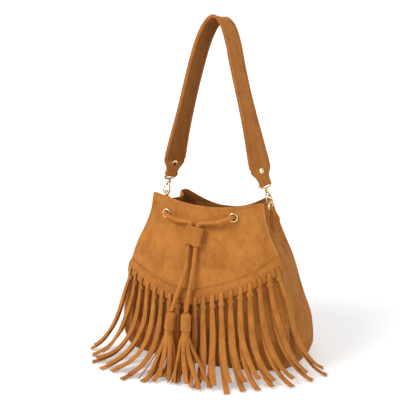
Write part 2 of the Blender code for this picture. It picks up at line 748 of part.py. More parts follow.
# Tassels: a wrapped head on each cord end, and a bundle of thongs below it.
def tassel(side, head, lean, splay):
    axis = unit((lean, -0.13, -1.0))
    top = np.array(head) + axis * 1.1 * MM
    radius = HEAD_RADIUS
    profile = [(3.2 * MM, 0.5 * MM), (radius * 0.72, 0.3 * MM), (radius * 0.9, 2.4 * MM)]
    for turn in range(4):
        at = (5.0 + turn * 6.0) * MM
        profile += [(radius * 1.0, at), (radius * 0.91, at + 3.0 * MM)]
    profile += [(radius * 0.98, HEAD_TALL - 2 * MM), (radius * 0.7, HEAD_TALL)]
    lathe(side + "_tassel_head", profile, top, axis, steps=10)
    bottom = top + axis * (HEAD_TALL + 0.35 * MM)
    side_way = unit(np.cross(axis, (0, 1, 0)))
    if side_way[0] < 0:
        side_way = -side_way
    fore = np.cross(side_way, axis)
    if fore[1] > 0:
        fore = -fore
    hang = unit((splay, -0.13, -1.0))
    core = lathe(side + "_tassel_skirt",
                 [(radius * 0.84, 0), (radius * 0.98, 3 * MM), (radius * 0.95, 11 * MM)],
                 bottom, axis, steps=10)
    strips = []
    for k in range(SKIRT_STRANDS):
        a = 2 * math.pi * (k + 0.3) / SKIRT_STRANDS
        way = side_way * math.cos(a) + fore * math.sin(a)
        turned = -side_way * math.sin(a) + fore * math.cos(a)
        spread = (0.014 + 0.010 * abs(math.cos(a))) * (1.25 if side == "right" else 1.0)
        if math.sin(a) < 0:
            spread *= 0.45
        low = bottom[2] - rng.uniform(2.0, 7.0) * MM
        route = []
        middle = (LEFT_HEAD[0] + RIGHT_HEAD[0]) / 2
        for t in (0.0, 0.2, 0.45, 0.7, 0.88, 1.0):
            out = radius * 0.62 + (radius * 0.30) * min(1, t * 4) + spread * t ** 1.5
            p = bottom + axis * 4 * MM + way * out
            drop = (low - 5 * MM) * t
            x, y = p[0] + hang[0] * drop * t, p[1] + hang[1] * drop - 0.002 * t
            z = max(bottom[2] - 4 * MM - drop, 4.5 * MM)
            keep = 1.4 * MM + 3.8 * MM * abs(turned[0])
            x = min(x, middle - keep) if side == "left" else max(x, middle + keep)
            if t > 0:
                low_in = 8 * MM * max(0.0, min(1.0, (0.032 - z) / 0.02))
                y = min(y, drape_y(x, z) - 4.0 * MM - low_in - 4 * MM * abs(turned[1]))
            route.append((x, y, z))
        path = spline(route, 6)
        strips.append(strip("strip", path, [4.4 * MM, 5.8 * MM] + [7.6 * MM] * 4,
                            [turned] * len(path), 1.9 * MM))
    combine(core, strips)


tassel("left", LEFT_HEAD, -0.10, -0.06)
tassel("right", RIGHT_HEAD, 0.02, 0.26)


# Side tabs, rings, hooks, strap. Everything is drawn for the right side and mirrored.
def mirrored(sign, points):
    return [np.array([p[0] * sign, p[1], p[2]]) for p in points]


def hardware(side, sign):
    bar = np.array(RING_BAR)
    ring_top = bar + np.array([0, 0, RING_RADIUS])

    # Ring: a straight bar along Y and a half round above it.
    path = [bar + np.array([0, y, 0]) for y in np.linspace(-RING_RADIUS, RING_RADIUS, 6)]
    path += [bar + np.array([0, RING_RADIUS * math.cos(a), RING_RADIUS * math.sin(a)])
             for a in np.linspace(0, math.pi, 15)[1:-1]]
    rod(side + "_d_ring", mirrored(sign, path), WIRE, sides=1, cyclic=True)

    # Tab: flat on the gusset's middle ridge, rolled over the ring's bar.
    def wall(z):
        return max(plan("right", t, z)[0] for t in np.linspace(-0.16, 0.16, 9))

    outer, inner = [], []
    roll_in = WIRE + 0.45 * MM
    heights = list(np.linspace(TAB_LOW, RIDGE_Z - 4 * MM, 5))
    line = [(wall(z) + 1.3 * MM, z) for z in heights]
    line.append((max(line[-1][0], bar[0] + roll_in), bar[2]))
    for a in np.linspace(0.5, 4.2, 8):
        line.append((bar[0] + roll_in * math.cos(a), bar[2] + roll_in * math.sin(a)))
    ends = np.array(line)
    for i, (x, z) in enumerate(ends):
        a = ends[max(i - 1, 0)]
        b = ends[min(i + 1, len(ends) - 1)]
        n = np.array([b[1] - a[1], a[0] - b[0]])
        n = n / np.linalg.norm(n)
        half = TAB_WIDE / 2 * (0.62 if i == 0 else 1.0 if i < 5 else 0.74)
        thick = TAB_THICK if i < 5 else 1.4 * MM
        inner.append([(sign * x, y, z) for y in (-half, half)])
        outer.append([(sign * (x + n[0] * thick), y, z + n[1] * thick) for y in (-half, half)])
    slab(side + "_tab", np.array(outer), np.array(inner))

    # Hook frame: u runs up the leaning stem, p across it in the XZ plane.
    low = ring_top - np.array([0, 0, HOOK_DROP])
    u = np.array([-math.sin(HOOK_LEAN), 0, math.cos(HOOK_LEAN)])
    p_way = np.array([math.cos(HOOK_LEAN), 0, math.sin(HOOK_LEAN)])

    def at(p, q, r=0.0):
        return low + p_way * p * MM + u * q * MM + np.array([0, r * MM, 0])

    bend = spline([at(0, 15.6), at(-3.4, 13.6), at(-5.2, 10.2), at(-5.7, 6.2), at(-4.8, 1.4),
                   at(0, 0), at(4.8, 1.4), at(5.5, 4.9)], 16)
    hook = as_mesh(rod(side + "_snap_hook", mirrored(sign, bend), WIRE, sides=1))
    collar = lathe("collar", [(2.0 * MM, 0), (3.0 * MM, 0.6 * MM), (3.0 * MM, 1.6 * MM),
                              (2.4 * MM, 2.1 * MM), (2.4 * MM, 5.4 * MM), (1.55 * MM, 5.4 * MM),
                              (1.55 * MM, 2.4 * MM), (0.2 * MM, 2.4 * MM), (0.2 * MM, 0)],
                   mirrored(sign, [at(0, 15.0)])[0], (u[0] * sign, 0, u[2]), steps=12,
                   closed=False, colour=GOLD, roughness=0.3, metallic=1.0)
    cheeks = []
    for y in (-2.4, 1.5):
        plate = [at(p, q, y) for p, q in ((0.4, 15.9), (0.4, 13.0), (3.0, 11.5), (5.2, 12.2), (5.0, 14.2), (3.0, 15.7))]
        other = [q + np.array([0, 0.9 * MM, 0]) for q in plate]
        cheeks.append(loft("cheek", [mirrored(sign, plate), mirrored(sign, other)]))
    pivot = mirrored(sign, [at(*GATE_PIN)])[0]
    pin = lathe("pin", [(0.7 * MM, -2.0 * MM), (0.7 * MM, 2.0 * MM)], pivot, (0, 1, 0), steps=10)
    combine(hook, [collar] + cheeks + [pin])
    gate = [at(5.45, 6.9), at(5.1, 9.4), at(4.5, 12.0)]
    gate = as_mesh(rod(side + "_hook_gate", mirrored(sign, gate), 1.15 * MM, sides=1))
    knuckle = lathe("knuckle", [(0.76 * MM, -1.1 * MM), (1.75 * MM, -1.1 * MM), (1.75 * MM, 1.1 * MM),
                                (0.76 * MM, 1.1 * MM)], pivot, (0, 1, 0), steps=12, closed=True)
    combine(gate, [knuckle])

    # Swivel eye: a half-moon bow on a pin that stands in the hook's collar.
    w_side = np.array([math.sin(STRAP_TURN_FOOT) * sign, math.cos(STRAP_TURN_FOOT), 0])
    bow_low = 22.2

    def eye_at(across, q):
        return at(0, q) + w_side * across

    moon = [eye_at(-BOW_HALF, 31.4), eye_at(-BOW_HALF * 0.9, 27.5), eye_at(-BOW_HALF * 0.62, 24.4),
            eye_at(-BOW_HALF * 0.28, bow_low), eye_at(0, bow_low - 0.5), eye_at(BOW_HALF * 0.28, bow_low),
            eye_at(BOW_HALF * 0.62, 24.4), eye_at(BOW_HALF * 0.9, 27.5), eye_at(BOW_HALF, 31.4)]
    flat = [eye_at(t * BOW_HALF, 31.4) for t in (0.6, 0.2, -0.2, -0.6)]
    eye = as_mesh(rod(side + "_swivel_eye", mirrored(sign, moon + flat), WIRE, sides=1, cyclic=True))
    pin = lathe("pin", [(1.15 * MM, 0), (1.15 * MM, 5.2 * MM)], mirrored(sign, [at(0, 17.9)])[0],
                (u[0] * sign, 0, u[2]), steps=10)
    combine(eye, [pin])
    return mirrored(sign, [eye_at(0, 31.4)])[0]


FEET = {side: hardware(side, sign) for side, sign in (("left", -1), ("right", 1))}


# Shoulder strap: one arch, narrowed at both ends and folded round the bars of the bows.
def strap():
    foot_r = FEET["right"]
    half = [(foot_r[0] - 0.9 * MM, foot_r[2] + 3.3 * MM)] + list(STRAP_ROUTE) + [(0.0, STRAP_TOP_Z)]
    line = []
    for sign in (1, -1):
        for x, z in (half if sign > 0 else list(reversed(half[:-1]))):
            up = min(1.0, max(0.0, (z - half[0][1]) / 0.03))
            shift = STRAP_SWAY * up * (1.0 if sign > 0 else 0.25)
            line.append((sign * x - shift, 0.0, z))
    fine = spline(line, 241)
    high = np.clip((fine[:, 2] - STRAP_TOP_Z + 0.06) / 0.06, 0, 1)
    load = np.cumsum(np.concatenate([[0], np.linalg.norm(np.diff(fine, axis=0), axis=1) * (1 + 3 * high[1:])]))
    count = 47
    wanted = np.linspace(0, load[-1], count)
    pts = np.stack([np.interp(wanted, load, fine[:, k]) for k in range(3)], axis=1)
    run = np.concatenate([[0], np.cumsum(np.linalg.norm(np.diff(pts, axis=0), axis=1))])
    total = run[-1]
    rings = []
    for i, p in enumerate(pts):
        near = min(run[i], total - run[i])
        grow = min(1.0, near / 0.024)
        wide = STRAP_END + (STRAP_WIDE - STRAP_END) * grow * grow * (3 - 2 * grow)
        high = max(0.0, min(1.0, (p[2] - 0.328) / 0.11))
        turn = STRAP_TURN_FOOT + (STRAP_TURN_TOP - STRAP_TURN_FOOT) * (high * (2 - high))
        w = np.array([math.sin(turn), math.cos(turn), 0.0])
        a, b = pts[max(i - 1, 0)], pts[min(i + 1, count - 1)]
        along = unit(b - a)
        w = unit(w - along * (w @ along))
        n = np.cross(along, w)
        hw, ht = wide / 2, STRAP_THICK / 2
        ring = []
        for x, y in ((-1, 0), (-0.95, 1), (0.95, 1), (1, 0), (0.95, -1), (-0.95, -1)):
            ring.append(p + w * hw * x + n * ht * y)
        rings.append(ring)
    made = loft("shoulder_strap", rings)
    loops = []
    for side in ("right", "left"):
        foot = FEET[side]
        w = np.array([math.sin(STRAP_TURN_FOOT), math.cos(STRAP_TURN_FOOT), 0.0])
        hole, skin_r = WIRE + 0.4 * MM, WIRE + 0.4 * MM + 2.2 * MM
        wide = STRAP_END / 2 - 2.0 * MM
        loops.append((foot, w, hole, skin_r, wide))
    for foot, w, hole, skin_r, wide in loops:
        drum = lathe("drum", [(skin_r, -wide), (skin_r, wide)], foot, w, steps=16)
        bore = lathe("bore", [(hole, -wide * 1.6), (hole, wide * 1.6)], foot, w, steps=14)
        combine(made, [drum])
        combine(made, [bore], "DIFFERENCE")
    for side, sign in (("right", 1), ("left", -1)):
        spot = np.array([STRAP_ROUTE[0][0] * sign, 0, STRAP_ROUTE[0][1]])
        halfway = (pts[1:] + pts[:-1]) / 2
        i = int(np.argmin(((halfway - spot) ** 2).sum(axis=1)))
        centre, along = halfway[i], unit((pts[i + 1] - pts[i]) * sign)
        w = np.array([math.sin(STRAP_TURN_FOOT), math.cos(STRAP_TURN_FOOT), 0])
        w = unit(w - along * (w @ along))
        n = np.cross(along, w)
        hole = lathe("hole", [(1.9 * MM, -6 * MM), (1.9 * MM, 6 * MM)], centre, n, steps=12)
        combine(made, [hole], "DIFFERENCE")
        h = STRAP_THICK / 2 + 0.45 * MM
        lathe(side + "_strap_rivet",
              [(0.4 * MM, -h - 1.3 * MM), (RIVET_RADIUS * 0.7, -h - 1.0 * MM), (RIVET_RADIUS, -h),
               (1.5 * MM, -h), (1.5 * MM, h), (RIVET_RADIUS, h), (RIVET_RADIUS * 0.7, h + 1.0 * MM),
               (0.4 * MM, h + 1.3 * MM)], centre, n, steps=14, colour=GOLD, roughness=0.3, metallic=1.0)


strap()


# Zip pocket on the inside of the back: a tape with its teeth, a slider and its pull.
def pocket():
    wall = float(skin("back", 0.0, ZIP_Z + ZIP_TAPE[0] / 2, -SHELL)[1])
    low_wall = float(skin("back", 0.0, ZIP_Z - ZIP_TAPE[0] / 2, -SHELL)[1])
    edge = float(skin("back", ZIP_HALF / smooth(ZIP_Z, HEIGHTS, BACK_X), ZIP_Z + 0.01, -SHELL)[1])
    y = min(wall, edge, low_wall) - 0.9 * MM
    half, tall, thick = ZIP_HALF, ZIP_TAPE[0] / 2, ZIP_TAPE[1]
    outer = np.array([[(x, y - thick, z) for x in (-half, half)] for z in (ZIP_Z - tall, ZIP_Z + tall)])
    inner = np.array([[(x, y, z) for x in (-half, half)] for z in (ZIP_Z - tall, ZIP_Z + tall)])
    tape = slab("pocket_zip_tape", outer, inner, colour=SUEDE_DARK)
    teeth = slab("teeth", np.array([[(x, y - thick - 1.3 * MM, z) for x in (-half + 3 * MM, half - 3 * MM)]
                                    for z in (ZIP_Z - 1.6 * MM, ZIP_Z + 1.6 * MM)]),
                 np.array([[(x, y - thick / 2, z) for x in (-half + 3 * MM, half - 3 * MM)]
                           for z in (ZIP_Z - 1.6 * MM, ZIP_Z + 1.6 * MM)]))
    combine(tape, [teeth])
    face = y - thick - 1.3 * MM
    ring = []
    for k in range(12):
        a = 2 * math.pi * k / 12
        ring.append((ZIP_PARK + 5.2 * MM * math.cos(a), 3.6 * MM * math.sin(a) + ZIP_Z))
    body = [[(x, face - 0.35 * MM, z) for x, z in ring], [(x, face - 1.9 * MM, z) for x, z in ring],
            [(ZIP_PARK + (x - ZIP_PARK) * 0.7, face - 2.5 * MM, ZIP_Z + (z - ZIP_Z) * 0.7) for x, z in ring]]
    slider = loft("pocket_zip_slider", body, colour=DARK_METAL, roughness=0.35, metallic=1.0)
    ring_y = face - 5.9 * MM
    lug_path = [(ZIP_PARK - 3.2 * MM, face - 1.8 * MM, ZIP_Z), (ZIP_PARK - 2.6 * MM, ring_y + 0.8 * MM, ZIP_Z),
                (ZIP_PARK - 1.5 * MM, ring_y, ZIP_Z), (ZIP_PARK + 1.5 * MM, ring_y, ZIP_Z),
                (ZIP_PARK + 2.6 * MM, ring_y + 0.8 * MM, ZIP_Z), (ZIP_PARK + 3.2 * MM, face - 1.8 * MM, ZIP_Z)]
    lug = as_mesh(rod("lug", lug_path, 0.7 * MM, DARK_METAL, 0.35, 1.0, sides=1))
    combine(slider, [lug])
    head = lathe("pocket_zip_pull", [(1.7 * MM, -0.6 * MM), (2.9 * MM, -0.6 * MM), (2.9 * MM, 0.6 * MM),
                                    (1.7 * MM, 0.6 * MM)], (ZIP_PARK, ring_y, ZIP_Z), (1, 0, 0),
                 steps=14, closed=True, colour=DARK_METAL, roughness=0.35, metallic=1.0)
    grip = slab("grip", np.array([[(ZIP_PARK + x, ring_y - 0.6 * MM, z) for x in (-2.4 * MM, 2.4 * MM)]
                                  for z in (ZIP_Z - 22 * MM, ZIP_Z - 2.3 * MM)]),
                np.array([[(ZIP_PARK + x, ring_y + 0.6 * MM, z) for x in (-2.4 * MM, 2.4 * MM)]
                          for z in (ZIP_Z - 22 * MM, ZIP_Z - 2.3 * MM)]))
    combine(head, [grip])
    return ZIP_PARK, ring_y, ZIP_Z


ZIP_SPOT = pocket()


# Every moving piece has its origin on the axis that it turns about or slides along.
def put_origin(name, point):
    made = bpy.data.objects[name]
    point = Vector([float(c) for c in point])
    made.data.transform(Matrix.Translation(-point))
    made.location = point


def stem(side, sign):
    """The hook's stem on its axis, and the pivot of its gate."""
    low = np.array(RING_BAR) + np.array([0, 0, RING_RADIUS - HOOK_DROP])
    u = np.array([-math.sin(HOOK_LEAN), 0, math.cos(HOOK_LEAN)])
    p = np.array([math.cos(HOOK_LEAN), 0, math.sin(HOOK_LEAN)])
    pivot = low + p * GATE_PIN[0] * MM + u * GATE_PIN[1] * MM
    return mirrored(sign, [low + u * 15.0 * MM, pivot])


put_origin("cord_slider", SLIDER_CENTRE)
for piece in ("shoulder_strap", "left_strap_rivet", "right_strap_rivet"):
    put_origin(piece, (0, 0, RING_BAR[2]))
for side, sign in (("left", -1), ("right", 1)):
    collar_at, gate_at = stem(side, sign)
    put_origin(side + "_d_ring", mirrored(sign, [RING_BAR])[0])
    put_origin(side + "_snap_hook", collar_at)
    put_origin(side + "_swivel_eye", collar_at)
    put_origin(side + "_hook_gate", gate_at)
put_origin("pocket_zip_slider", ZIP_SPOT)
put_origin("pocket_zip_pull", ZIP_SPOT)
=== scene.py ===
# %% [markdown]
# A bucket bag of tan suede: a soft body of four panels, a band of knotted fringe round its
# front, a drawstring with two tassels, and one shoulder strap on snap hooks. The solids in the
# frame give the size and place of everything. This script gives each of them the shape and
# finish that suede, cord and plated metal have.

# %% Load the frame
import math
import random

import bmesh
import bpy
import numpy as np
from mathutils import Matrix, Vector, noise


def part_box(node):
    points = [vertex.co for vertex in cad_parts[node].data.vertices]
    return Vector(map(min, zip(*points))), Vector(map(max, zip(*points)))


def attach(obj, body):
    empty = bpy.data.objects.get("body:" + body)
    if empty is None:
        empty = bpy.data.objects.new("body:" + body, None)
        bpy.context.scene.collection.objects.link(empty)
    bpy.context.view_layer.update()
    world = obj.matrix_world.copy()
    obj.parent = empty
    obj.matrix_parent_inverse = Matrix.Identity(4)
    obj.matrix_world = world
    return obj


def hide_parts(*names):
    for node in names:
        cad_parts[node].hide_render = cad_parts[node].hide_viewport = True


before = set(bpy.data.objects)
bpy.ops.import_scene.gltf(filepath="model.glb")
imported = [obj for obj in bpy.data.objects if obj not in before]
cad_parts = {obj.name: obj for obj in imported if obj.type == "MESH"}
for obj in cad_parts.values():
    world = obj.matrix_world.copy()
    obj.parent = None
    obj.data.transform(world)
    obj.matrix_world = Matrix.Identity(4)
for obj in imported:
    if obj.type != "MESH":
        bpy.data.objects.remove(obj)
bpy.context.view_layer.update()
MM = 0.001

# %% [markdown]
# The camera stands a little to the right of the front and looks down at the bag, as a product
# photographer's does. A long lens from a metre and a half keeps the sides nearly upright.

# %% Camera
AZIMUTH, ELEVATION, DISTANCE = math.radians(20), math.radians(18), 1.5
right_way = Vector((math.cos(AZIMUTH), math.sin(AZIMUTH), 0))
aim = right_way * -0.0146 + Vector((0, 0, 0.2432))
towards = Vector((math.sin(AZIMUTH) * math.cos(ELEVATION),
                  -math.cos(AZIMUTH) * math.cos(ELEVATION), math.sin(ELEVATION)))
bpy.ops.object.camera_add(location=aim + towards * DISTANCE)
camera = bpy.context.object
camera.rotation_euler = towards.to_track_quat("Z", "Y").to_euler()
camera.data.lens = 80.63
camera.data.sensor_width = 36
bpy.context.scene.camera = camera
bpy.context.scene.view_settings.view_transform = "Standard"
print("camera at", [round(c, 3) for c in camera.location])

# %% [markdown]
# The studio is a wide pale floor under a white sky, with one large soft lamp high on the left
# and a weaker one on the right. The sky is full white only where the camera sees it.

# %% Floor, sky and lamps
bpy.ops.mesh.primitive_plane_add(size=30)
floor = bpy.context.object
floor.name = "floor"


def new_material(name):
    made = bpy.data.materials.new(name)
    made.use_nodes = True
    nodes = made.node_tree.nodes
    return made, nodes, made.node_tree.links, nodes["Principled BSDF"]


def set_values(node, values):
    for socket, value in values.items():
        node.inputs[socket].default_value = value


def new_node(nodes, kind, values=(), **settings):
    """A shader node with the values of its inputs and its own settings."""
    made = nodes.new("ShaderNode" + kind)
    for key, value in settings.items():
        setattr(made, key, value)
    set_values(made, dict(values))
    return made


WHITE = (1, 1, 1, 1)
floor_look, nodes, links, shader = new_material("studio_floor")
set_values(shader, {"Base Color": (0.80, 0.80, 0.80, 1), "Roughness": 1.0, "Specular IOR Level": 0.0,
                    "Emission Color": WHITE})
path = new_node(nodes, "LightPath")
seen = new_node(nodes, "Math", operation="MAXIMUM")
links.new(path.outputs["Is Camera Ray"], seen.inputs[0])
links.new(path.outputs["Is Glossy Ray"], seen.inputs[1])
where = new_node(nodes, "TexCoord")
away = new_node(nodes, "VectorMath", operation="LENGTH")
links.new(where.outputs["Object"], away.inputs[0])
far = new_node(nodes, "MapRange", {"From Min": 0.35, "From Max": 1.2, "To Min": 0.34, "To Max": 0.64})
links.new(away.outputs["Value"], far.inputs["Value"])
lift = new_node(nodes, "Math", operation="MULTIPLY")
links.new(seen.outputs[0], lift.inputs[0])
links.new(far.outputs["Result"], lift.inputs[1])
links.new(lift.outputs[0], shader.inputs["Emission Strength"])
floor.data.materials.append(floor_look)

world = bpy.data.worlds.new("studio")
bpy.context.scene.world = world
world.use_nodes = True
nodes, links = world.node_tree.nodes, world.node_tree.links
sky = nodes["Background"]
set_values(sky, {"Color": WHITE})
path = new_node(nodes, "LightPath")
level = new_node(nodes, "MapRange", {"To Min": 0.62, "To Max": 1.0})
links.new(path.outputs["Is Camera Ray"], level.inputs["Value"])
links.new(level.outputs["Result"], sky.inputs["Strength"])


LAMPS_AIM = Vector((0, 0, 0.2))


def lamp(name, place, size, power):
    bpy.ops.object.light_add(type="AREA", location=place)
    made = bpy.context.object
    made.name = name
    made.data.shape = "DISK"
    made.data.size = size
    made.data.energy = power
    made.rotation_euler = (Vector(place) - LAMPS_AIM).to_track_quat("Z", "Y").to_euler()


lamp("key_lamp", (-1.3, -1.5, 2.1), 1.1, 40)
lamp("side_lamp", (1.9, -0.7, 1.2), 1.4, 9)

# %% [markdown]
# Suede is split leather with its fibres raised. It has no shine: light catches the tips of the
# nap, so it looks paler at grazing angles, and brushing leaves darker and lighter clouds. Three
# noises do this: clouds of a few centimetres, short brushed marks, and the nap itself, which
# also drives the bump. All read Object coordinates, in metres, so the grain has one real size.


# %% Suede
def ramp(nodes, links, source, stops):
    """Colours by the value of a noise, from (value, colour) pairs."""
    made = new_node(nodes, "ValToRGB")
    while len(made.color_ramp.elements) < len(stops):
        made.color_ramp.elements.new(0.5)
    for element, (at, colour) in zip(made.color_ramp.elements, stops):
        element.position = at
        element.color = (*colour, 1)
    links.new(source.outputs["Fac"], made.inputs["Fac"])
    return made.outputs["Color"]


def greys(*stops):
    return [(at, (grey,) * 3) for at, grey in stops]


def noise_node(nodes, links, vector, scale, detail, rough=0.55, distort=0.0):
    made = new_node(nodes, "TexNoise", {"Scale": scale, "Detail": detail, "Roughness": rough,
                                        "Distortion": distort})
    links.new(vector, made.inputs["Vector"])
    return made


def multiply(nodes, links, amount, first, second):
    made = new_node(nodes, "Mix", data_type="RGBA", blend_type="MULTIPLY")
    made.inputs[0].default_value = amount
    links.new(first, made.inputs[6])
    links.new(second, made.inputs[7])
    return made.outputs[2]


def bump_from(nodes, links, height, strength, distance, shader):
    made = new_node(nodes, "Bump", {"Strength": strength, "Distance": distance})
    links.new(height, made.inputs["Height"])
    links.new(made.outputs["Normal"], shader.inputs["Normal"])


def suede(name, mid, spread=0.16, offset=(0, 0, 0), clouds=26):
    """spread is how far the clouds leave the middle colour, clouds is how many go in a metre."""
    made, nodes, links, shader = new_material(name)
    where = new_node(nodes, "TexCoord")
    moved = new_node(nodes, "Mapping", {"Location": offset})
    links.new(where.outputs["Object"], moved.inputs["Vector"])
    brushed = new_node(nodes, "Mapping", {"Scale": (1.0, 1.0, 0.45)})
    links.new(moved.outputs["Vector"], brushed.inputs["Vector"])
    cloud = noise_node(nodes, links, moved.outputs["Vector"], clouds, 4, 0.6, 0.6)
    mark = noise_node(nodes, links, brushed.outputs["Vector"], 140, 4, 0.6, 0.3)
    fibre = noise_node(nodes, links, moved.outputs["Vector"], 1500, 3, 0.65)
    dark = tuple(c * (1 - spread * k) for c, k in zip(mid, (1.6, 2.2, 2.6)))
    pale = tuple(min(1, c * (1 + spread * k)) for c, k in zip(mid, (0.7, 0.9, 1.2)))
    body = ramp(nodes, links, cloud, [(0.28, dark), (0.52, mid), (0.76, pale)])
    shade = ramp(nodes, links, mark, greys((0.30, 0.70), (0.55, 1.0), (0.78, 1.14)))
    grain = ramp(nodes, links, fibre, greys((0.30, 0.62), (0.50, 0.98), (0.72, 1.22)))
    marked = multiply(nodes, links, 0.55, body, shade)
    links.new(multiply(nodes, links, 0.60, marked, grain), shader.inputs["Base Color"])
    height = new_node(nodes, "Math", operation="MULTIPLY_ADD")
    height.inputs[1].default_value = 1.6
    links.new(mark.outputs["Fac"], height.inputs[0])
    links.new(fibre.outputs["Fac"], height.inputs[2])
    bump_from(nodes, links, height.outputs[0], 0.30, 0.0006, shader)
    set_values(shader, {"Roughness": 0.96, "Specular IOR Level": 0.16, "Sheen Weight": 0.22,
                        "Sheen Roughness": 0.55, "Sheen Tint": (1.0, 0.55, 0.22, 1)})
    return made


TAN = (0.535, 0.200, 0.040)
SUEDE_BODY = suede("suede_body", TAN)
# The gussets take a darker copy of the same suede: painted shade on the bag's sides.
SUEDE_SIDE_SHADED = suede("suede_side_painted_shade", (0.450, 0.165, 0.036), offset=(0.3, 0.1, 0))
SUEDE_TRIM = suede("suede_trim", (0.490, 0.178, 0.034), spread=0.13, offset=(0.1, 0.7, 0.2))
SUEDE_CORD = suede("suede_cord", (0.545, 0.203, 0.040), spread=0.12, offset=(0.6, 0.2, 0.1))
SUEDE_EDGE = suede("suede_edge", (0.620, 0.270, 0.085), spread=0.08, offset=(0.3, 0.2, 0.6))
# The inside faces take a darker copy of the suede: painted shade for the inside of the bag.
SUEDE_INSIDE_SHADED = suede("suede_inside_painted_shade", (0.370, 0.130, 0.028), spread=0.14, offset=(0.5, 0.5, 0))
SUEDE_STRAP = suede("suede_strap", (0.475, 0.174, 0.038), spread=0.12, clouds=34)
SUEDE_BACKED = suede("suede_strap_inside", (0.300, 0.104, 0.021), spread=0.12, offset=(0.2, 0.3, 0))
STRANDS = [suede(f"suede_strand_{k + 1}", tuple(c * f for c in TAN), spread=0.12,
                 offset=(0.37 * k, 0.2 * k, 0), clouds=30) for k, f in enumerate((0.92, 1.0, 1.06))]
print("suedes:", len([m for m in bpy.data.materials if m.name.startswith("suede")]))

# %% [markdown]
# The fittings are zinc with a pale gold plating. Plating is smooth but never a perfect mirror:
# a fine noise moves its roughness a little, and a second one gives the faint orange peel of a
# casting. The zip's slider is the same with a dark finish. Thread is twisted, so it gets bands.


# %% Metal and thread
def toned(name, scale, detail, low, high, darker, colour):
    """A new material whose colour darkens a little with one noise."""
    made, nodes, links, shader = new_material(name)
    where = new_node(nodes, "TexCoord").outputs["Object"]
    source = noise_node(nodes, links, where, scale, detail)
    tone = ramp(nodes, links, source, [(low, tuple(c * darker for c in colour)), (high, colour)])
    links.new(tone, shader.inputs["Base Color"])
    return made, nodes, links, shader, where, source


def plated(name, colour, rough):
    made, nodes, links, shader, where, wear = toned(name, 260, 4, 0.3, 0.7, 0.86, colour)
    level = new_node(nodes, "MapRange", {"To Min": rough * 0.7, "To Max": rough * 1.4})
    links.new(wear.outputs["Fac"], level.inputs["Value"])
    links.new(level.outputs["Result"], shader.inputs["Roughness"])
    peel = noise_node(nodes, links, where, 900, 2)
    bump_from(nodes, links, peel.outputs["Fac"], 0.05, 0.0003, shader)
    set_values(shader, {"Metallic": 1.0})
    return made


def thread(name, colour):
    made, nodes, links, shader, _, twist = toned(name, 2600, 2, 0.35, 0.65, 0.7, colour)
    bump_from(nodes, links, twist.outputs["Fac"], 0.4, 0.0002, shader)
    set_values(shader, {"Roughness": 0.6})
    return made


GOLD = plated("pale_gold", (0.90, 0.72, 0.43), 0.20)
DARK = plated("dark_plating", (0.20, 0.18, 0.17), 0.30)
THREAD = thread("tan_thread", (0.40, 0.140, 0.030))
DARK_THREAD = thread("brown_thread", (0.22, 0.075, 0.018))

# %% [markdown]
# Every piece is finished the same way: its modifiers are applied, its place goes into its mesh,
# it gets its material, its shading is smoothed up to an angle, it is hung on the body it rides
# on, and the solids it stands for are hidden.


# %% Helpers for finishing a piece
def take_up(*objs):
    if bpy.context.mode != "OBJECT":
        bpy.ops.object.mode_set(mode="OBJECT")
    bpy.ops.object.select_all(action="DESELECT")
    for obj in objs:
        obj.select_set(True)
    bpy.context.view_layer.objects.active = objs[0]


def edit(obj):
    take_up(obj)
    bpy.ops.object.mode_set(mode="EDIT")
    bpy.ops.mesh.select_all(action="SELECT")


def outwards(obj, merge=False):
    """Turns all faces outwards, after the doubled points are joined where that is asked."""
    edit(obj)
    if merge:
        bpy.ops.mesh.remove_doubles(threshold=1e-6)
    bpy.ops.mesh.normals_make_consistent(inside=False)
    bpy.ops.object.mode_set(mode="OBJECT")
    return obj


def added(primitive, name, **settings):
    """A new primitive, made with nothing else selected."""
    bpy.ops.object.select_all(action="DESELECT")
    primitive(**settings)
    made = bpy.context.object
    made.name = made.data.name = name
    return made


def modify(obj, kind, **settings):
    made = obj.modifiers.new(kind.lower(), kind)
    for key, value in settings.items():
        setattr(made, key, value)
    take_up(obj)
    bpy.ops.object.modifier_apply(modifier=made.name)
    return obj


def bevel(obj, width, segments, angle=50):
    return modify(obj, "BEVEL", width=width, segments=segments, limit_method="ANGLE",
                  angle_limit=math.radians(angle))


def thicken(obj, thick, offset=-1.0, round_by=0.0, steps=2):
    modify(obj, "SOLIDIFY", thickness=thick, offset=offset, use_even_offset=False)
    return bevel(obj, round_by, steps) if round_by else obj


def join(name, objs):
    take_up(*objs)
    bpy.ops.object.join()
    objs[0].name = objs[0].data.name = name
    return objs[0]


def finish_piece(obj, look, body="bag", replaces=(), angle=40):
    take_up(obj)
    obj.data.materials.clear()
    obj.data.materials.append(look)
    if obj.type == "MESH":
        bpy.ops.object.shade_smooth_by_angle(angle=math.radians(angle))
    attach(obj, body)
    if replaces:
        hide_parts(*replaces)
    return obj


def clamp(x):
    return max(0.0, min(1.0, x))


def eased(t):
    return t * t * (3 - 2 * t)


def floats(point):
    return Vector([float(c) for c in point])


def in_mm(*points):
    return [tuple(c * MM for c in point) for point in points]


def unit(v):
    v = np.asarray(v, float)
    return v / np.linalg.norm(v)


def run_at(points, i):
    """Direction of a line at its point i."""
    return unit(points[min(i + 1, len(points) - 1)] - points[max(i - 1, 0)])


def run_lengths(points):
    """The way along a line up to each of its points."""
    return np.concatenate([[0], np.cumsum(np.linalg.norm(np.diff(points, axis=0), axis=1))])


def between(line, run, at):
    """Places on a line at the given ways along it."""
    return np.stack([np.interp(at, run, line[:, k]) for k in range(3)], axis=-1)


def laid_sheet(name, cols, rows, place):
    """A grid of faces whose points are laid on a surface: place takes u and v from 0 to 1."""
    made = added(bpy.ops.mesh.primitive_grid_add, name, x_subdivisions=cols, y_subdivisions=rows, size=1)
    for point in made.data.vertices:
        point.co = floats(place(point.co.x + 0.5, point.co.y + 0.5))
    return made


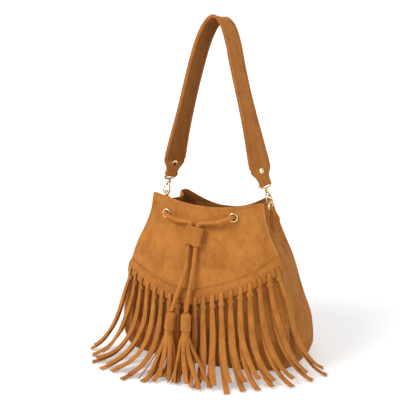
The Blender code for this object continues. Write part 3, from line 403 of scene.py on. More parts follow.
def even_line(points, count):
    """Points spread evenly along a smooth curve through given ones."""
    p = np.asarray(points, float)
    p = np.vstack([2 * p[0] - p[1], p, 2 * p[-1] - p[-2]])
    fine = []
    for i in range(1, len(p) - 2):
        for t in np.linspace(0, 1, 24, endpoint=False):
            fine.append(0.5 * (2 * p[i] + (p[i + 1] - p[i - 1]) * t
                               + (2 * p[i - 1] - 5 * p[i] + 4 * p[i + 1] - p[i + 2]) * t * t
                               + (3 * p[i] - p[i - 1] - 3 * p[i + 1] + p[i + 2]) * t ** 3))
    fine = np.asarray(fine + [p[-2]])
    run = run_lengths(fine)
    return between(fine, run, np.linspace(0, run[-1], count))


def wire(name, points, radius, cyclic=False, sides=6, as_curve=False):
    """A round wire or cord along points, as a bevelled curve."""
    curve = bpy.data.curves.new(name, "CURVE")
    curve.dimensions = "3D"
    curve.bevel_depth = radius
    curve.bevel_resolution = sides
    curve.use_fill_caps = not cyclic
    line = curve.splines.new("POLY")
    line.points.add(len(points) - 1)
    line.points.foreach_set("co", np.insert(np.asarray(points, float), 3, 1.0, axis=1).ravel())
    line.use_cyclic_u = cyclic
    line.use_smooth = True
    made = bpy.data.objects.new(name, curve)
    bpy.context.scene.collection.objects.link(made)
    if as_curve:
        return made
    take_up(made)
    bpy.ops.object.convert(target="MESH")
    return bpy.context.object


def turned(name, profile, centre, axis, steps=40):
    """A profile of (radius, along) spun into a closed ring, as on a lathe."""
    centre, axis = floats(centre), floats(axis).normalized()
    side = axis.orthogonal().normalized()
    made = added(bpy.ops.mesh.primitive_circle_add, name, vertices=len(profile), radius=1)
    for point, (r, h) in zip(made.data.vertices, profile):
        point.co = centre + side * r + axis * h
    edit(made)
    bpy.ops.mesh.spin(steps=steps, angle=2 * math.pi, center=centre, axis=axis)
    return outwards(made, merge=True)


def copies(name, base, frames):
    """One mesh that holds a copy of base at every frame, a 4 by 4 matrix."""
    points = np.array([tuple(v.co) + (1.0,) for v in base.data.vertices])
    faces = [tuple(f.vertices) for f in base.data.polygons]
    all_points, all_faces = [], []
    for k, matrix in enumerate(frames):
        all_points.append((points @ np.asarray(matrix, float).T)[:, :3])
        all_faces += [tuple(i + k * len(points) for i in f) for f in faces]
    mesh = bpy.data.meshes.new(name)
    mesh.from_pydata(np.concatenate(all_points).tolist(), [], all_faces)
    made = bpy.data.objects.new(name, mesh)
    bpy.context.scene.collection.objects.link(made)
    return made


def drop(obj):
    bpy.data.objects.remove(obj)


print("helpers ready")

# %% [markdown]
# The bag's outline is a short table: where the front and back seams stand at rising heights,
# and how far each panel bulges between its seams. The same numbers shape the solids, so each
# soft piece lies where its solid is.

# %% The bag's outline
SHELL = 2.4 * MM
HEM_RADIUS = 12 * MM
FLOOR_LIFT = 0.8 * MM
HEIGHTS = (0.0, 0.025, 0.060, 0.100, 0.130, 0.160, 0.190, 0.220, 0.245, 0.275)
FRONT_X = (0.126, 0.138, 0.140, 0.137, 0.133, 0.128, 0.118, 0.104, 0.095, 0.090)
FRONT_Y = (0.058, 0.060, 0.060, 0.057, 0.054, 0.051, 0.049, 0.047, 0.046, 0.045)
FRONT_BULGE = (0.020, 0.029, 0.038, 0.042, 0.042, 0.038, 0.030, 0.020, 0.014, 0.009)
SIDE_BULGE = (0.024, 0.025, 0.022, 0.016, 0.010, 0.004, -0.003, -0.003, 0.004, 0.012)
BACK_X = (0.125, 0.137, 0.136, 0.128, 0.121, 0.112, 0.100, 0.089, 0.081, 0.073)
BACK_Y = (0.062, 0.066, 0.066, 0.063, 0.060, 0.057, 0.053, 0.049, 0.045, 0.042)
BACK_BULGE = (0.016, 0.021, 0.024, 0.026, 0.025, 0.022, 0.017, 0.012, 0.009, 0.006)
FOLD_DEPTH = (0.0, 0.0, 0.0, 0.0, 0.0, 0.0, 0.003, 0.009, 0.015, 0.020)
FRONT_CORNER_Z, FRONT_DIP = 0.274, 0.012
RIDGE_Z, BACK_CORNER_Z, BACK_DIP = 0.2485, 0.259, 0.029
ORDER = ("front", "right", "back", "left")
SIDES = (("left", -1), ("right", 1))


def smooth(x, xs, ys):
    """A smooth curve through a short table, without overshoot."""
    i = min(max(int(np.searchsorted(xs, x, side="right")) - 1, 0), len(xs) - 2)
    x = min(max(float(x), xs[0]), xs[-1])

    def slope(k):
        if k == 0:
            return (ys[1] - ys[0]) / (xs[1] - xs[0])
        if k == len(xs) - 1:
            return (ys[-1] - ys[-2]) / (xs[-1] - xs[-2])
        a = (ys[k] - ys[k - 1]) / (xs[k] - xs[k - 1])
        b = (ys[k + 1] - ys[k]) / (xs[k + 1] - xs[k])
        return 2 * a * b / (a + b) if a * b > 0 else 0.0

    h = xs[i + 1] - xs[i]
    t = (x - xs[i]) / h
    return (ys[i] * (1 + 2 * t) * (1 - t) ** 2 + slope(i) * h * t * (1 - t) ** 2
            + ys[i + 1] * t * t * (3 - 2 * t) + slope(i + 1) * h * t * t * (t - 1))


def plan(panel, s, z):
    fx, fy = smooth(z, HEIGHTS, FRONT_X), smooth(z, HEIGHTS, FRONT_Y)
    if panel == "front":
        return np.array([fx * s, -fy - smooth(z, HEIGHTS, FRONT_BULGE) * (1 - abs(s) ** 2.6)])
    bx, by = smooth(z, HEIGHTS, BACK_X), smooth(z, HEIGHTS, BACK_Y)
    if panel == "back":
        return np.array([-bx * s, by + smooth(z, HEIGHTS, BACK_BULGE) * (1 - abs(s) ** 4)])
    side, fold = smooth(z, HEIGHTS, SIDE_BULGE), smooth(z, HEIGHTS, FOLD_DEPTH)
    t = (s + 1) / 2 if panel == "right" else (1 - s) / 2
    x = fx + (bx - fx) * t + side * (1 - abs(2 * t - 1) ** 2.4)
    x -= fold * math.sin(math.pi * 2 * t) ** 2
    y = -fy + (by + fy) * t
    return np.array([x, y] if panel == "right" else [-x, y])


def facing(panel, s, z):
    """Outward direction at a place on the outline, shared at the seams between two panels."""
    def own(name, t):
        a, b = plan(name, t - 0.01, z), plan(name, t + 0.01, z)
        return unit((b[1] - a[1], a[0] - b[0]))

    here = own(panel, max(-0.99, min(0.99, s)))
    near = max(0.0, (abs(s) - 0.9) / 0.1)
    if near <= 0:
        return here, 1.0
    i = ORDER.index(panel)
    other = own(ORDER[(i + 1) % 4], -0.99) if s > 0 else own(ORDER[i - 1], 0.99)
    edge = own(panel, 0.99 if s > 0 else -0.99)
    shared = unit(edge + other)
    near = eased(near)
    stretch = 1 / max(0.5, float(shared @ edge))
    return unit(here * (1 - near) + shared * near), 1 + (stretch - 1) * near


def rim(panel, s):
    if panel == "front":
        return FRONT_CORNER_Z - FRONT_DIP * max(0.0, 1 - s * s) ** 1.4
    if panel == "back":
        return BACK_CORNER_Z - BACK_DIP * max(0.0, 1 - s * s) ** 1.4
    t = s if panel == "right" else -s
    return smooth(t, (-1, -0.5, 0, 0.5, 1),
                  (FRONT_CORNER_Z, 0.262, RIDGE_Z, 0.250, BACK_CORNER_Z))


def skin(panel, s, z, off=0.0):
    """A point on the bag's outside, or off it by a distance along the outward direction."""
    out, stretch = facing(panel, s, z)
    tuck = 0.0
    if z < HEM_RADIUS:
        tuck = 0.45 * (HEM_RADIUS - math.sqrt(HEM_RADIUS ** 2 - (HEM_RADIUS - z) ** 2))
    xy = plan(panel, s, z) + out * ((off - tuck) * (stretch if off < 0 else 1.0))
    return np.array([xy[0], xy[1], z])


def surface_normal(panel, s, z):
    across = skin(panel, s + 0.02, z) - skin(panel, s - 0.02, z)
    up = skin(panel, s, z + 0.003) - skin(panel, s, z - 0.003)
    n = unit(np.cross(across, up))
    return n if n @ np.append(facing(panel, s, z)[0], 0) > 0 else -n


print("front at mid height:", skin("front", 0, 0.15).round(4))

# %% [markdown]
# Each wall is one suede panel with a lining, so it is laid as a sheet of many faces over the
# outline and then thickened. Real suede never lies on the ideal surface: the drawstring pulls
# dents round the eyelets and the sides hang in soft upright folds. The dents only go inwards,
# so that they stay clear of what lies on the panel.

# %% Soft walls
EYELET_HALF, EYELET_MIDDLE = 0.0560, -0.0095
EYELET_Z = {"left": 0.2445, "right": 0.2500}
EYELET_HOLE = 5.6 * MM
SEAM_GAP = 0.35 * MM
ROWS = 84


def bell(x, wide):
    return math.exp(-(x / wide) ** 2)


# Dents of the front at the eyelets, between them and above the fringe, as the middle's x and z,
# the width, the height and the depth in mm. The folds of the other walls stand at a share of their width.
FRONT_DENTS = [(EYELET_MIDDLE + sign * (EYELET_HALF - 0.013), EYELET_Z[side] - 0.004, 0.017, 0.013, 0.9)
               for side, sign in SIDES]
FRONT_DENTS += [(EYELET_MIDDLE, 0.262, 0.040, 0.013, 2.2), (-0.062, 0.205, 0.016, 0.05, 1.3),
                (0.050, 0.200, 0.020, 0.04, 1.3)]
SIDE_FOLDS = ((0.22, 0.055, 2.8), (0.40, 0.045, 2.2), (0.58, 0.05, 2.6), (0.79, 0.05, 2.0))
BACK_FOLDS = ((-0.62, 1.6), (-0.2, 1.2), (0.3, 1.5), (0.66, 1.4))


def dent(panel, s, z, top):
    """How far the suede is pushed in here, in metres."""
    x = s * (0.10 if panel in ("front", "back") else 0.055)
    seed = ORDER.index(panel) * 7.3
    wave = noise.noise(Vector((x * 16 + seed, z * 11, 0.4)))
    wave += 0.45 * noise.noise(Vector((x * 38, z * 24, seed)))
    fade = min(1.0, (1 - abs(s)) / 0.12) * min(1.0, z / 0.03)
    deep = (1.0 + wave) * 0.75 * fade
    if panel == "front":
        fx = s * smooth(z, HEIGHTS, FRONT_X)
        deep += sum(depth * bell(fx - at, wide) * bell(z - high, tall)
                    for at, high, wide, tall, depth in FRONT_DENTS)
    elif panel == "back":
        lean = 0.06 * math.sin(z * 20)
        deep += sum(depth * bell(s - at - lean, 0.10) for at, depth in BACK_FOLDS) * bell(z - 0.11, 0.07)
    else:
        t = (s + 1) / 2 if panel == "right" else (1 - s) / 2
        for at, wide, depth in SIDE_FOLDS:
            lean = 0.05 * math.sin(z * 21 + at * 9)
            deep += depth * bell(t - at - lean, wide) * bell(z - 0.085, 0.062)
        deep += 4.2 * bell(t - 0.17, 0.13) * bell(z - 0.236, 0.050)
    hem = (top - z) / MM
    return (deep + 0.40 * bell(hem - 6.2, 0.9) * fade) * MM


def soft_rim(panel, s):
    """Height of the rim. Its back corners are soft: both panels sink towards their seam."""
    near = {"back": abs(s), "right": s, "left": -s}.get(panel, 0.0)
    reach = 0.86 if panel == "back" else 0.72
    share = max(0.0, (near - reach) / (1 - reach))
    return rim(panel, s) - 5.5 * MM * share * share


def reach_of(panel):
    """How far s runs on a panel, which stops half a seam short of its corners."""
    return 1 - SEAM_GAP / 2 / (0.10 if panel in ("front", "back") else 0.05)


def soft_wall(node, panel, cols):
    def place(u, v):
        s = (2 * u - 1) * reach_of(panel)
        top = soft_rim(panel, s)
        near_rim = 0.80 * v + 0.20 * (1 - (1 - v) ** 4)   # rows stand closer there, for the hem
        z = FLOOR_LIFT + near_rim * (top - FLOOR_LIFT)
        return skin(panel, s, z, -dent(panel, s, z, top))

    return thicken(laid_sheet("soft_" + node, cols, ROWS, place), SHELL, -1, 0.9 * MM, 3)


def punch(wall, places, radius):
    """Cut round holes through a wall with a drum at each place."""
    for middle, normal in places:
        turn = Vector(normal).to_track_quat("Z", "Y").to_euler()
        drum = added(bpy.ops.mesh.primitive_cylinder_add, "drum", vertices=32, radius=radius, depth=0.02,
                     location=[float(c) for c in middle], rotation=turn)
        cut = wall.modifiers.new("hole", "BOOLEAN")
        cut.operation, cut.object, cut.solver = "DIFFERENCE", drum, "EXACT"
        take_up(wall)
        bpy.ops.object.modifier_apply(modifier=cut.name)
        drop(drum)


EYELETS = {}
for side, sign in SIDES:
    s = (EYELET_MIDDLE + sign * EYELET_HALF) / smooth(EYELET_Z[side], HEIGHTS, FRONT_X)
    normal = surface_normal("front", s, EYELET_Z[side])
    EYELETS[side] = (skin("front", s, EYELET_Z[side]) - normal * SHELL / 2, normal)

walls = {}
# The gussets take the darker copy of the suede, which is painted shade.
for node, panel, cols, look in (("front_panel", "front", 120, SUEDE_BODY),
                                ("back_panel", "back", 100, SUEDE_BODY),
                                ("right_gusset", "right", 90, SUEDE_SIDE_SHADED),
                                ("left_gusset", "left", 90, SUEDE_SIDE_SHADED)):
    walls[panel] = soft_wall(node, panel, cols)
    if panel == "front":
        punch(walls[panel], EYELETS.values(), EYELET_HOLE)
    finish_piece(walls[panel], look, replaces=[node], angle=50)
    print(node, len(walls[panel].data.polygons), "faces")

# %% [markdown]
# The inside of the walls is unlined suede, painted darker as shade for the inside of the bag.
# It is the same mesh: the faces that look towards the middle of the bag take the second material.

# %% Inside of the walls
INWARD = {"front": (1, 1), "back": (1, -1), "left": (0, 1), "right": (0, -1)}   # axis and sign
for panel, wall in walls.items():
    wall.data.materials.append(SUEDE_INSIDE_SHADED)
    axis, sign = INWARD[panel]
    for face in wall.data.polygons:
        if face.normal[axis] * sign > 0.35 and abs(face.normal.z) < 0.8:
            face.material_index = 1
    print(panel, "inside faces:", sum(face.material_index for face in wall.data.polygons))

# %% [markdown]
# The four walls meet in upright seams. On the real bag the edges are turned out and pressed, so
# each seam is a narrow raised welt. Here it is a slim cord along the seam line, sunk halfway
# between the two panels.

# %% Seam welts
SEAMS = (("front", 1.0, "front_right"), ("front", -1.0, "front_left"),
         ("back", -1.0, "back_right"), ("back", 1.0, "back_left"))
for panel, s, name in SEAMS:
    heights = np.linspace(2.2 * MM, soft_rim(panel, s) - 0.6 * MM, 90)
    line = [skin(panel, s, z, -0.35 * MM) for z in heights]
    welt = wire(name + "_welt", line, 1.15 * MM, sides=3)
    finish_piece(welt, SUEDE_EDGE)
print("welts:", len(SEAMS))

# %% [markdown]
# The base is a stiffer panel that the walls are sewn to. It hardly shows, but it carries the
# bag, so its edge is rounded and its underside has the same leather.

# %% Base panel
ring = []
for panel in ORDER:
    for s in np.linspace(-reach_of(panel), reach_of(panel), 24):
        ring.append(skin(panel, s, FLOOR_LIFT, -(SHELL + 0.3 * MM)))
base = added(bpy.ops.mesh.primitive_circle_add, "base_leather", vertices=len(ring), radius=1,
             fill_type="NGON")
for point, p in zip(base.data.vertices, ring):
    point.co = floats((p[0], p[1], 0.0))
edit(base)
bpy.ops.mesh.extrude_region_move(TRANSFORM_OT_translate={"value": (0, 0, 3 * MM)})
bevel(outwards(base), 0.5 * MM, 2)
# The base takes the inside suede, whose darker colour is painted shade.
finish_piece(base, SUEDE_INSIDE_SHADED, replaces=["bottom_panel"])
print("base", len(base.data.polygons), "faces")

# %% [markdown]
# The fringe band is a second strip of suede, sewn over the lower front along its top edge. Its
# lower edge stands a few millimetres off the bag and has a slot for each thong. The slots are
# left out of the grid before it is thickened, so their edges get the same rounding.

# %% Fringe band
BAND_ACROSS = (-1.0, -0.75, -0.42, -0.12, 0.15, 0.40, 0.65, 0.82, 1.0)
BAND_EDGE_Z = (0.138, 0.130, 0.120, 0.115, 0.123, 0.134, 0.147, 0.158, 0.172)
BAND_HEIGHT, BAND_THICK, BAND_OFF_TOP, BAND_OFF_EDGE = 0.022, 1.6 * MM, 0.4 * MM, 3.0 * MM
SLOT_LOW, SLOT_HIGH, SLOT_WIDE = 6.4 * MM, 13.6 * MM, 6.4 * MM
KNOTS, KNOT_REACH = 19, 0.940
KNOT_S = np.linspace(-KNOT_REACH, KNOT_REACH, KNOTS)


def band_edge(s):
    return smooth(s, BAND_ACROSS, BAND_EDGE_Z)


def front_reach(s, z):
    """How much s grows for each metre across the front."""
    return 0.02 / np.linalg.norm(plan("front", s + 0.01, z) - plan("front", s - 0.01, z))


columns, slots = [-0.996], []
for s in KNOT_S:
    half = SLOT_WIDE / 2 * front_reach(s, band_edge(s))
    lo, hi = max(s - half, -0.992), min(s + half, 0.992)
    columns += list(np.linspace(columns[-1], lo, 5)[1:])
    slots += [len(columns) - 1, len(columns)]
    columns += [(lo + hi) / 2, hi]
columns += list(np.linspace(columns[-1], 0.996, 4)[1:])
rises = [0.0, 0.0012, 0.0035, SLOT_LOW, 0.0108, SLOT_HIGH, 0.0160, 0.0185, 0.0207, BAND_HEIGHT]
SLOT_ROW = rises.index(SLOT_LOW)


def band_place(u, v):
    s = columns[int(round(u * (len(columns) - 1)))]
    rise = rises[int(round(v * (len(rises) - 1)))]
    share = clamp((rise - SLOT_HIGH) / (BAND_HEIGHT - SLOT_HIGH))
    off = BAND_OFF_EDGE + (BAND_OFF_TOP - BAND_OFF_EDGE) * eased(share)
    ripple = 0.35 * MM * math.sin(s * 31) * (1 - share)
    return skin("front", s, band_edge(s) + rise, off + BAND_THICK + ripple * 0.5)


cells = len(columns) - 1
band = laid_sheet("soft_fringe_band", cells, len(rises) - 1, band_place)
edit(band)
work = bmesh.from_edit_mesh(band.data)
work.faces.ensure_lookup_table()
bmesh.ops.delete(work, geom=[work.faces[SLOT_ROW * cells + c] for c in slots], context="FACES")
bmesh.update_edit_mesh(band.data)
bpy.ops.object.mode_set(mode="OBJECT")
thicken(band, BAND_THICK, -1, 0.45 * MM, 2)
finish_piece(band, SUEDE_TRIM, replaces=["fringe_band"])
print("band columns:", len(columns), "slots:", len(slots) // 2)

# %% [markdown]
# Each fringe is one thong, folded in half. Its fold goes through the slot and round the edge of
# the band, a short wrap holds both runs together under the edge, and the two tails hang down
# over the bag and turn out along the floor. The tails are laid along the same lines as the
# solids, with more points, a slight cup across their width and their own small waves.

# %% Lines of the tails
KNOT_WIDE, KNOT_DEEP, KNOT_TALL = 8.6 * MM, 6.2 * MM, 9.6 * MM
LOOP_WIDE, THONG_THICK, LOOP_RISE, LOOP_POINTS = 6.24 * MM, 1.5 * MM, 10.2 * MM, 26
TAIL_TOP, TAIL_WIDE, LAYER, TUCK_BEHIND = 5.6 * MM, 9.2 * MM, 3.7 * MM, 0.024
TIP_AT = (-1.0, -0.5, 0.0, 0.5, 1.0)
TIP_ANGLE = (-1.16, -0.62, 0.03, 0.72, 1.44)
TIP_ANGLES = (-1.25, -0.95, -0.75, -0.50, -0.25, 0.0, 0.22, 0.42, 0.65, 0.90, 1.10, 1.30, 1.50)
TIP_OUT = (0.210, 0.207, 0.203, 0.190, 0.174, 0.163, 0.160, 0.167, 0.172, 0.180, 0.194, 0.199, 0.200)
rng = random.Random(11)
mood = random.Random(5)
LONGER = 0.009   # the soft tips reach this much further to the front than the solids
TAIL_STEPS = ((0, 0, 1.0), (0.10, 0.01, 0.88), (0.22, 0.04, 0.72), (0.36, 0.10, 0.53), (0.50, 0.20, 0.345),
              (0.63, 0.35, 0.195), (0.75, 0.53, 0.092), (0.87, 0.76, 0.030), (1.0, 1.0, 0.0))
TAIL_POINTS, TAIL_FINE, TAIL_FLOOR = 44, 61, 1.6 * MM
OUTLINES = {}


def outline(z):
    """The whole outline at one height, as points and outward directions."""
    key = round(z / 0.002) * 0.002
    if key not in OUTLINES:
        points, ways = [], []
        for panel in ORDER:
            for s in np.linspace(-1, 1, 41)[:-1]:
                points.append(skin(panel, s, max(key, HEM_RADIUS))[:2])
                ways.append(facing(panel, s, key)[0])
        OUTLINES[key] = (np.array(points), np.array(ways))
    return OUTLINES[key]


def keep_off(xy, z, need):
    """Moves a point out until it is clear of the bag by the wanted distance."""
    points, ways = outline(z)
    for _ in range(3):
        i = int(np.argmin(((points - xy) ** 2).sum(axis=1)))
        away = float((xy - points[i]) @ ways[i])
        if away >= need:
            break
        xy = xy + ways[i] * (need - away)
    return xy


def tip_reach(angle, x):
    """How far out a tip lies, which is less behind the tassels."""
    return smooth(angle, TIP_ANGLES, TIP_OUT) - TUCK_BEHIND * math.exp(-((x + 0.020) / 0.028) ** 4)


def tail_line(s, top, first, layer, swing, share_out, lift):
    """From under the wrap down over the bag and out along the floor."""
    angle = smooth(s, TIP_AT, TIP_ANGLE) + swing
    far = tip_reach(angle, top[0]) + LONGER
    tip = np.array([math.sin(angle), -math.cos(angle)]) * far
    start = top[:2]
    route = []
    ease = 1 - 0.42 * clamp((abs(s) - 0.66) / 0.26)
    for t, share, height in TAIL_STEPS:
        xy = start + (tip - start) * share ** ease
        z = TAIL_FLOOR + (top[2] - TAIL_FLOOR) * height
        if t > 0:
            xy = keep_off(xy, z, 2.2 * MM if t < 0.3 else 2.6 * MM)
        route.append((xy[0], xy[1], z))
    fine = even_line(route, TAIL_FINE)
    for i in range(6, TAIL_FINE):
        fine[i, :2] = keep_off(fine[i, :2], fine[i, 2], 2.5 * MM)
    fine = fine[: int(round(TAIL_FINE * share_out))]
    for k in range(3):
        soft = np.convolve(np.pad(fine[:, k], 2, mode="edge"), (0.1, 0.2, 0.4, 0.2, 0.1), "valid")
        fine[2:-2, k] = soft[2:-2]
    pts = between(fine, np.arange(len(fine)), np.linspace(0, len(fine) - 1, TAIL_POINTS))
    across, outs = [], []
    for i, p in enumerate(pts):
        run = run_at(pts, i)
        way = run[:2] if np.linalg.norm(run[:2]) > 0.15 else tip - start
        side = unit(np.cross((0, 0, 1), np.append(way, 0)))
        points, ways = outline(p[2])
        near = int(np.argmin(((points - p[:2]) ** 2).sum(axis=1)))
        away = float((p[:2] - points[near]) @ ways[near])
        hug = np.array([-ways[near][1], ways[near][0], 0.0])
        hug = hug if hug @ first > 0 else -hug
        side = side if side @ hug > 0 else -side
        free = clamp((away - 5 * MM) / 0.022)
        side = unit(hug * (1 - free) + side * free)
        blend = min(1.0, i / (TAIL_POINTS - 1) / 0.25)
        w = unit(first * (1 - blend) + side * blend)
        w = unit(w - run * (w @ run))
        out = np.cross(w, run)
        across.append(w)
        outs.append(-out if out @ np.append(ways[near] * (1 - free), free + 0.01) < 0 else out)
    across, outs = np.array(across), np.array(outs)
    for _ in range(2):
        for line in (across, outs):
            line[1:-1] = (line[:-2] + 2 * line[1:-1] + line[2:]) / 4
    t = np.linspace(0, 1, TAIL_POINTS)[:, None]
    return pts + outs * layer * LAYER + np.array([0, 0, 1.0]) * (lift * t ** 6), across, outs


# %% [markdown]
# A thong is a narrow grid laid along its line, thickened, and rounded by one subdivision. Its
# edges waver a little and its end is cut at a slant, because it was cut by hand.


# %% Thongs
def thong(name, pts, across, outs, widths, thick, cup=0.0, cols=4, wave=0.0, slant=0.0, sway=0.0):
    rows = len(pts) - 1
    phase = mood.uniform(0, 6.28)

    def place(u, v):
        i = int(round(v * rows))
        x = 2 * u - 1
        edge = 1 + 0.035 * math.sin(i * 1.9 + phase) * abs(x)
        aside = x * widths[i] / 2 * edge + sway * math.sin(v * 5.2 + phase) * min(1, v * 2.5)
        lifted = cup * (x * x - 0.4) + wave * math.sin(v * 9 + phase) * min(1, v * 3)
        end = run_at(pts, i) * (slant * x) if i == rows else 0
        return pts[i] + across[i] * aside + outs[i] * lifted + end

    made = laid_sheet(name, cols, rows, place)
    if np.cross(across[0], run_at(pts, 0)) @ outs[0] < 0:
        made.data.flip_normals()
    return bevel(thicken(made, thick, 0.0), 0.32 * MM, 1)


def wrap_piece(name, centre, up, wide, out, tall, width, deep, tilt):
    """The short band of thong round both runs: a drum with two soft ridges, a little tilted."""
    made = added(bpy.ops.mesh.primitive_cylinder_add, name, vertices=20, radius=1, depth=2)
    edit(made)
    bpy.ops.mesh.select_all(action="DESELECT")
    bpy.ops.object.mode_set(mode="OBJECT")
    for e in made.data.edges:
        a, b = (made.data.vertices[k].co.z for k in e.vertices)
        e.select = abs(a - b) > 1
    bpy.ops.object.mode_set(mode="EDIT")
    bpy.ops.mesh.subdivide(number_cuts=7)
    bpy.ops.object.mode_set(mode="OBJECT")
    c, s = math.cos(tilt), math.sin(tilt)
    w2, u2 = wide * c + up * s, up * c - wide * s
    for point in made.data.vertices:
        x, y, z = point.co
        ridge = 1 - 0.13 * math.cos(z * math.pi * 2) - 0.28 * abs(z) ** 6
        flat = 1 - 0.10 * abs(x) ** 3 * abs(y)
        size = ridge * flat / 2
        point.co = floats(centre + w2 * (x * width * size) + out * (y * deep * size) + u2 * (z * tall / 2))
    return bevel(outwards(made), 0.5 * MM, 2, 60)


def fringe_piece(index, s):
    z = band_edge(s)
    normal = surface_normal("front", s, z)
    foot = skin("front", s, z)
    up = skin("front", s, z + LOOP_RISE) - foot
    up = unit(up - normal * (up @ normal))
    wide = unit(np.cross(up, normal))
    edge = skin("front", s + 0.02, band_edge(s + 0.02)) - skin("front", s - 0.02, band_edge(s - 0.02))
    slope = abs(edge @ up) / abs(edge @ wide)
    sunk = 0.9 * MM + KNOT_WIDE / 2 * slope

    def at(n, k, w=0.0):
        return foot + normal * n + up * k + wide * w

    inner = BAND_OFF_EDGE - 0.65 * MM - THONG_THICK / 2
    outer = BAND_OFF_EDGE + BAND_THICK + 0.5 * MM + THONG_THICK / 2
    mid, top, low = (inner + outer) / 2, LOOP_RISE, -3.0 * MM - sunk
    loop_line = even_line([at(outer + 0.3 * MM, low - 0.4 * MM), at(outer + 0.9 * MM, 1 * MM),
                           at(outer + 0.9 * MM, 6 * MM), at(outer + 0.4 * MM, top - 1.2 * MM),
                           at(mid + 0.5 * MM, top - 0.1 * MM), at(mid - 0.5 * MM, top - 0.1 * MM),
                           at(inner, top - 1.4 * MM), at(inner, 5 * MM), at(inner, low)], LOOP_POINTS)
    turn = 1 if np.cross(run_at(loop_line, 0), wide) @ normal > 0 else -1
    loop_outs = [unit(np.cross(run_at(loop_line, i), wide)) * turn for i in range(LOOP_POINTS)]
    loop = thong("loop", loop_line, [wide] * LOOP_POINTS, loop_outs, [LOOP_WIDE] * LOOP_POINTS,
                 THONG_THICK, cup=-0.25 * MM)
    centre = max(mid + 0.3 * MM, KNOT_DEEP / 2 + 0.6 * MM)
    tilt = mood.uniform(-0.16, 0.16) - 0.25 * slope * (1 if s < 0 else -1)
    wrap = wrap_piece("wrap", at(centre, -4.7 * MM - sunk), up, wide, normal,
                      KNOT_TALL * 0.80, KNOT_WIDE * mood.uniform(1.04, 1.18), KNOT_DEEP * 1.16, tilt)
    pieces = [wrap, loop]
    widths = [TAIL_TOP + (TAIL_WIDE - TAIL_TOP) * min(1, i / 14) ** 0.8 for i in range(TAIL_POINTS)]
    for layer, sign in ((0, -1), (1, 1)):
        start = at(centre - LAYER / 2, -6.4 * MM - sunk)
        swing = rng.uniform(-0.02, 0.02) + sign * 0.018
        trim = rng.uniform(0.90, 1.0) if layer == 0 else rng.uniform(0.84, 0.96)
        lift = rng.uniform(0, 5) * MM * layer
        pieces.append(thong(f"tail_{layer}", *tail_line(s, start, wide, layer, swing, trim, lift), widths,
                            THONG_THICK + 0.2 * MM, cup=-0.55 * MM, wave=0.35 * MM,
                            slant=mood.uniform(-1.2, 1.2) * MM, sway=mood.uniform(0.6, 2.0) * MM))
    node = f"fringe_{index + 1:02d}"
    made = join("soft_" + node, pieces)
    finish_piece(made, STRANDS[mood.randrange(3)], replaces=[node], angle=45)


for index, s in enumerate(KNOT_S):
    fringe_piece(index, s)
print("fringe pieces:", KNOTS)

# %% [markdown]
# One round cord goes in through both eyelets. Each of its ends comes out over the front, passes
# through the slider and hangs down to a tassel. The route is a list of given points.

# %% Drawstring
CORD_WIDE = 6.6 * MM
CORD_APART = 12.4 * MM
SLIDER_SIZE = (0.0290, 0.0120, 0.0290)
SLIDER_CENTRE = np.array([-0.0125, -0.0755, 0.2195])
HEADS = {"left": np.array([-0.0340, -0.1155, 0.1060]), "right": np.array([-0.0095, -0.1160, 0.1080])}
CORD_SLOPE = unit([0, HEADS["left"][1] - SLIDER_CENTRE[1], HEADS["left"][2] - SLIDER_CENTRE[2]])


def cord_half(side):
    sign = -1 if side == "left" else 1
    eye, out = EYELETS[side]
    line = SLIDER_CENTRE + np.array([CORD_APART / 2, 0, 0]) * sign
    tall = SLIDER_SIZE[2]
    top = line - CORD_SLOPE * (tall / 2 + 2 * MM)
    pull = unit(top - eye)
    turn = eye + out * 8.2 * MM
    low = line + CORD_SLOPE * 0.052
    return [eye - out * 7 * MM, eye, eye + out * 4.5 * MM, turn + pull * 2.0 * MM,
            turn + pull * 9 * MM + out * 1.2 * MM,
            top * 0.36 + (turn + pull * 9 * MM) * 0.64 + out * 1.5 * MM + np.array([0, 0, -1.5 * MM]),
            top - CORD_SLOPE * 3.2 * MM + np.array([sign * 3.2 * MM, 0, 0.5 * MM]),
            line - CORD_SLOPE * tall / 2, line, line + CORD_SLOPE * tall / 2,
            line + CORD_SLOPE * 0.030, low,
            low * 0.45 + HEADS[side] * 0.55 + np.array([0, -0.5 * MM, 0]), HEADS[side]]


def cord_behind():
    points = []
    for t in np.linspace(-0.82, 0.82, 9):
        high = (EYELET_Z["left"] * (1 - t) + EYELET_Z["right"] * (1 + t)) / 2
        s = (EYELET_MIDDLE + t * EYELET_HALF) / smooth(high, HEIGHTS, FRONT_X)
        p = skin("front", s, high - 4 * MM, -SHELL)
        points.append(p + np.array([0, 6.5 * MM + CORD_WIDE / 2, 0]))
    return points


def length_of(points):
    return float(run_lengths(points)[-1])


cords, cord_lines = {}, {side: even_line(cord_half(side), 110) for side, _ in SIDES}
cord_lines["middle"] = even_line([cord_lines["left"][0]] + cord_behind() + [cord_lines["right"][0]], 70)
for side, line in cord_lines.items():
    cords[side] = wire(f"cord_{side}", line, CORD_WIDE / 2, sides=5, as_curve=True)
    finish_piece(cords[side], SUEDE_CORD, replaces=["drawstring"])
    print("cord", side, round(length_of(line) * 1000), "mm")

# %% [markdown]
# The slider is a suede sleeve sewn down the middle, so it has two channels with a valley
# between them. Its ends are open where the cords go in and out.

# %% Cord slider
SLIDER_LEAN = math.radians(7)
SLEEVE_ROUND = 0.62


def sleeve_ring(turn, wide, deep, valley):
    """A point of the sleeve's outline: a long round with a dip at the middle of both faces."""
    x, y = math.cos(turn), math.sin(turn)
    across = math.copysign(abs(x) ** SLEEVE_ROUND, x) * wide / 2
    out = math.copysign(abs(y) ** 0.70, y) * deep / 2
    return across, out * (1 - valley * math.exp(-(across / (0.11 * wide)) ** 2))


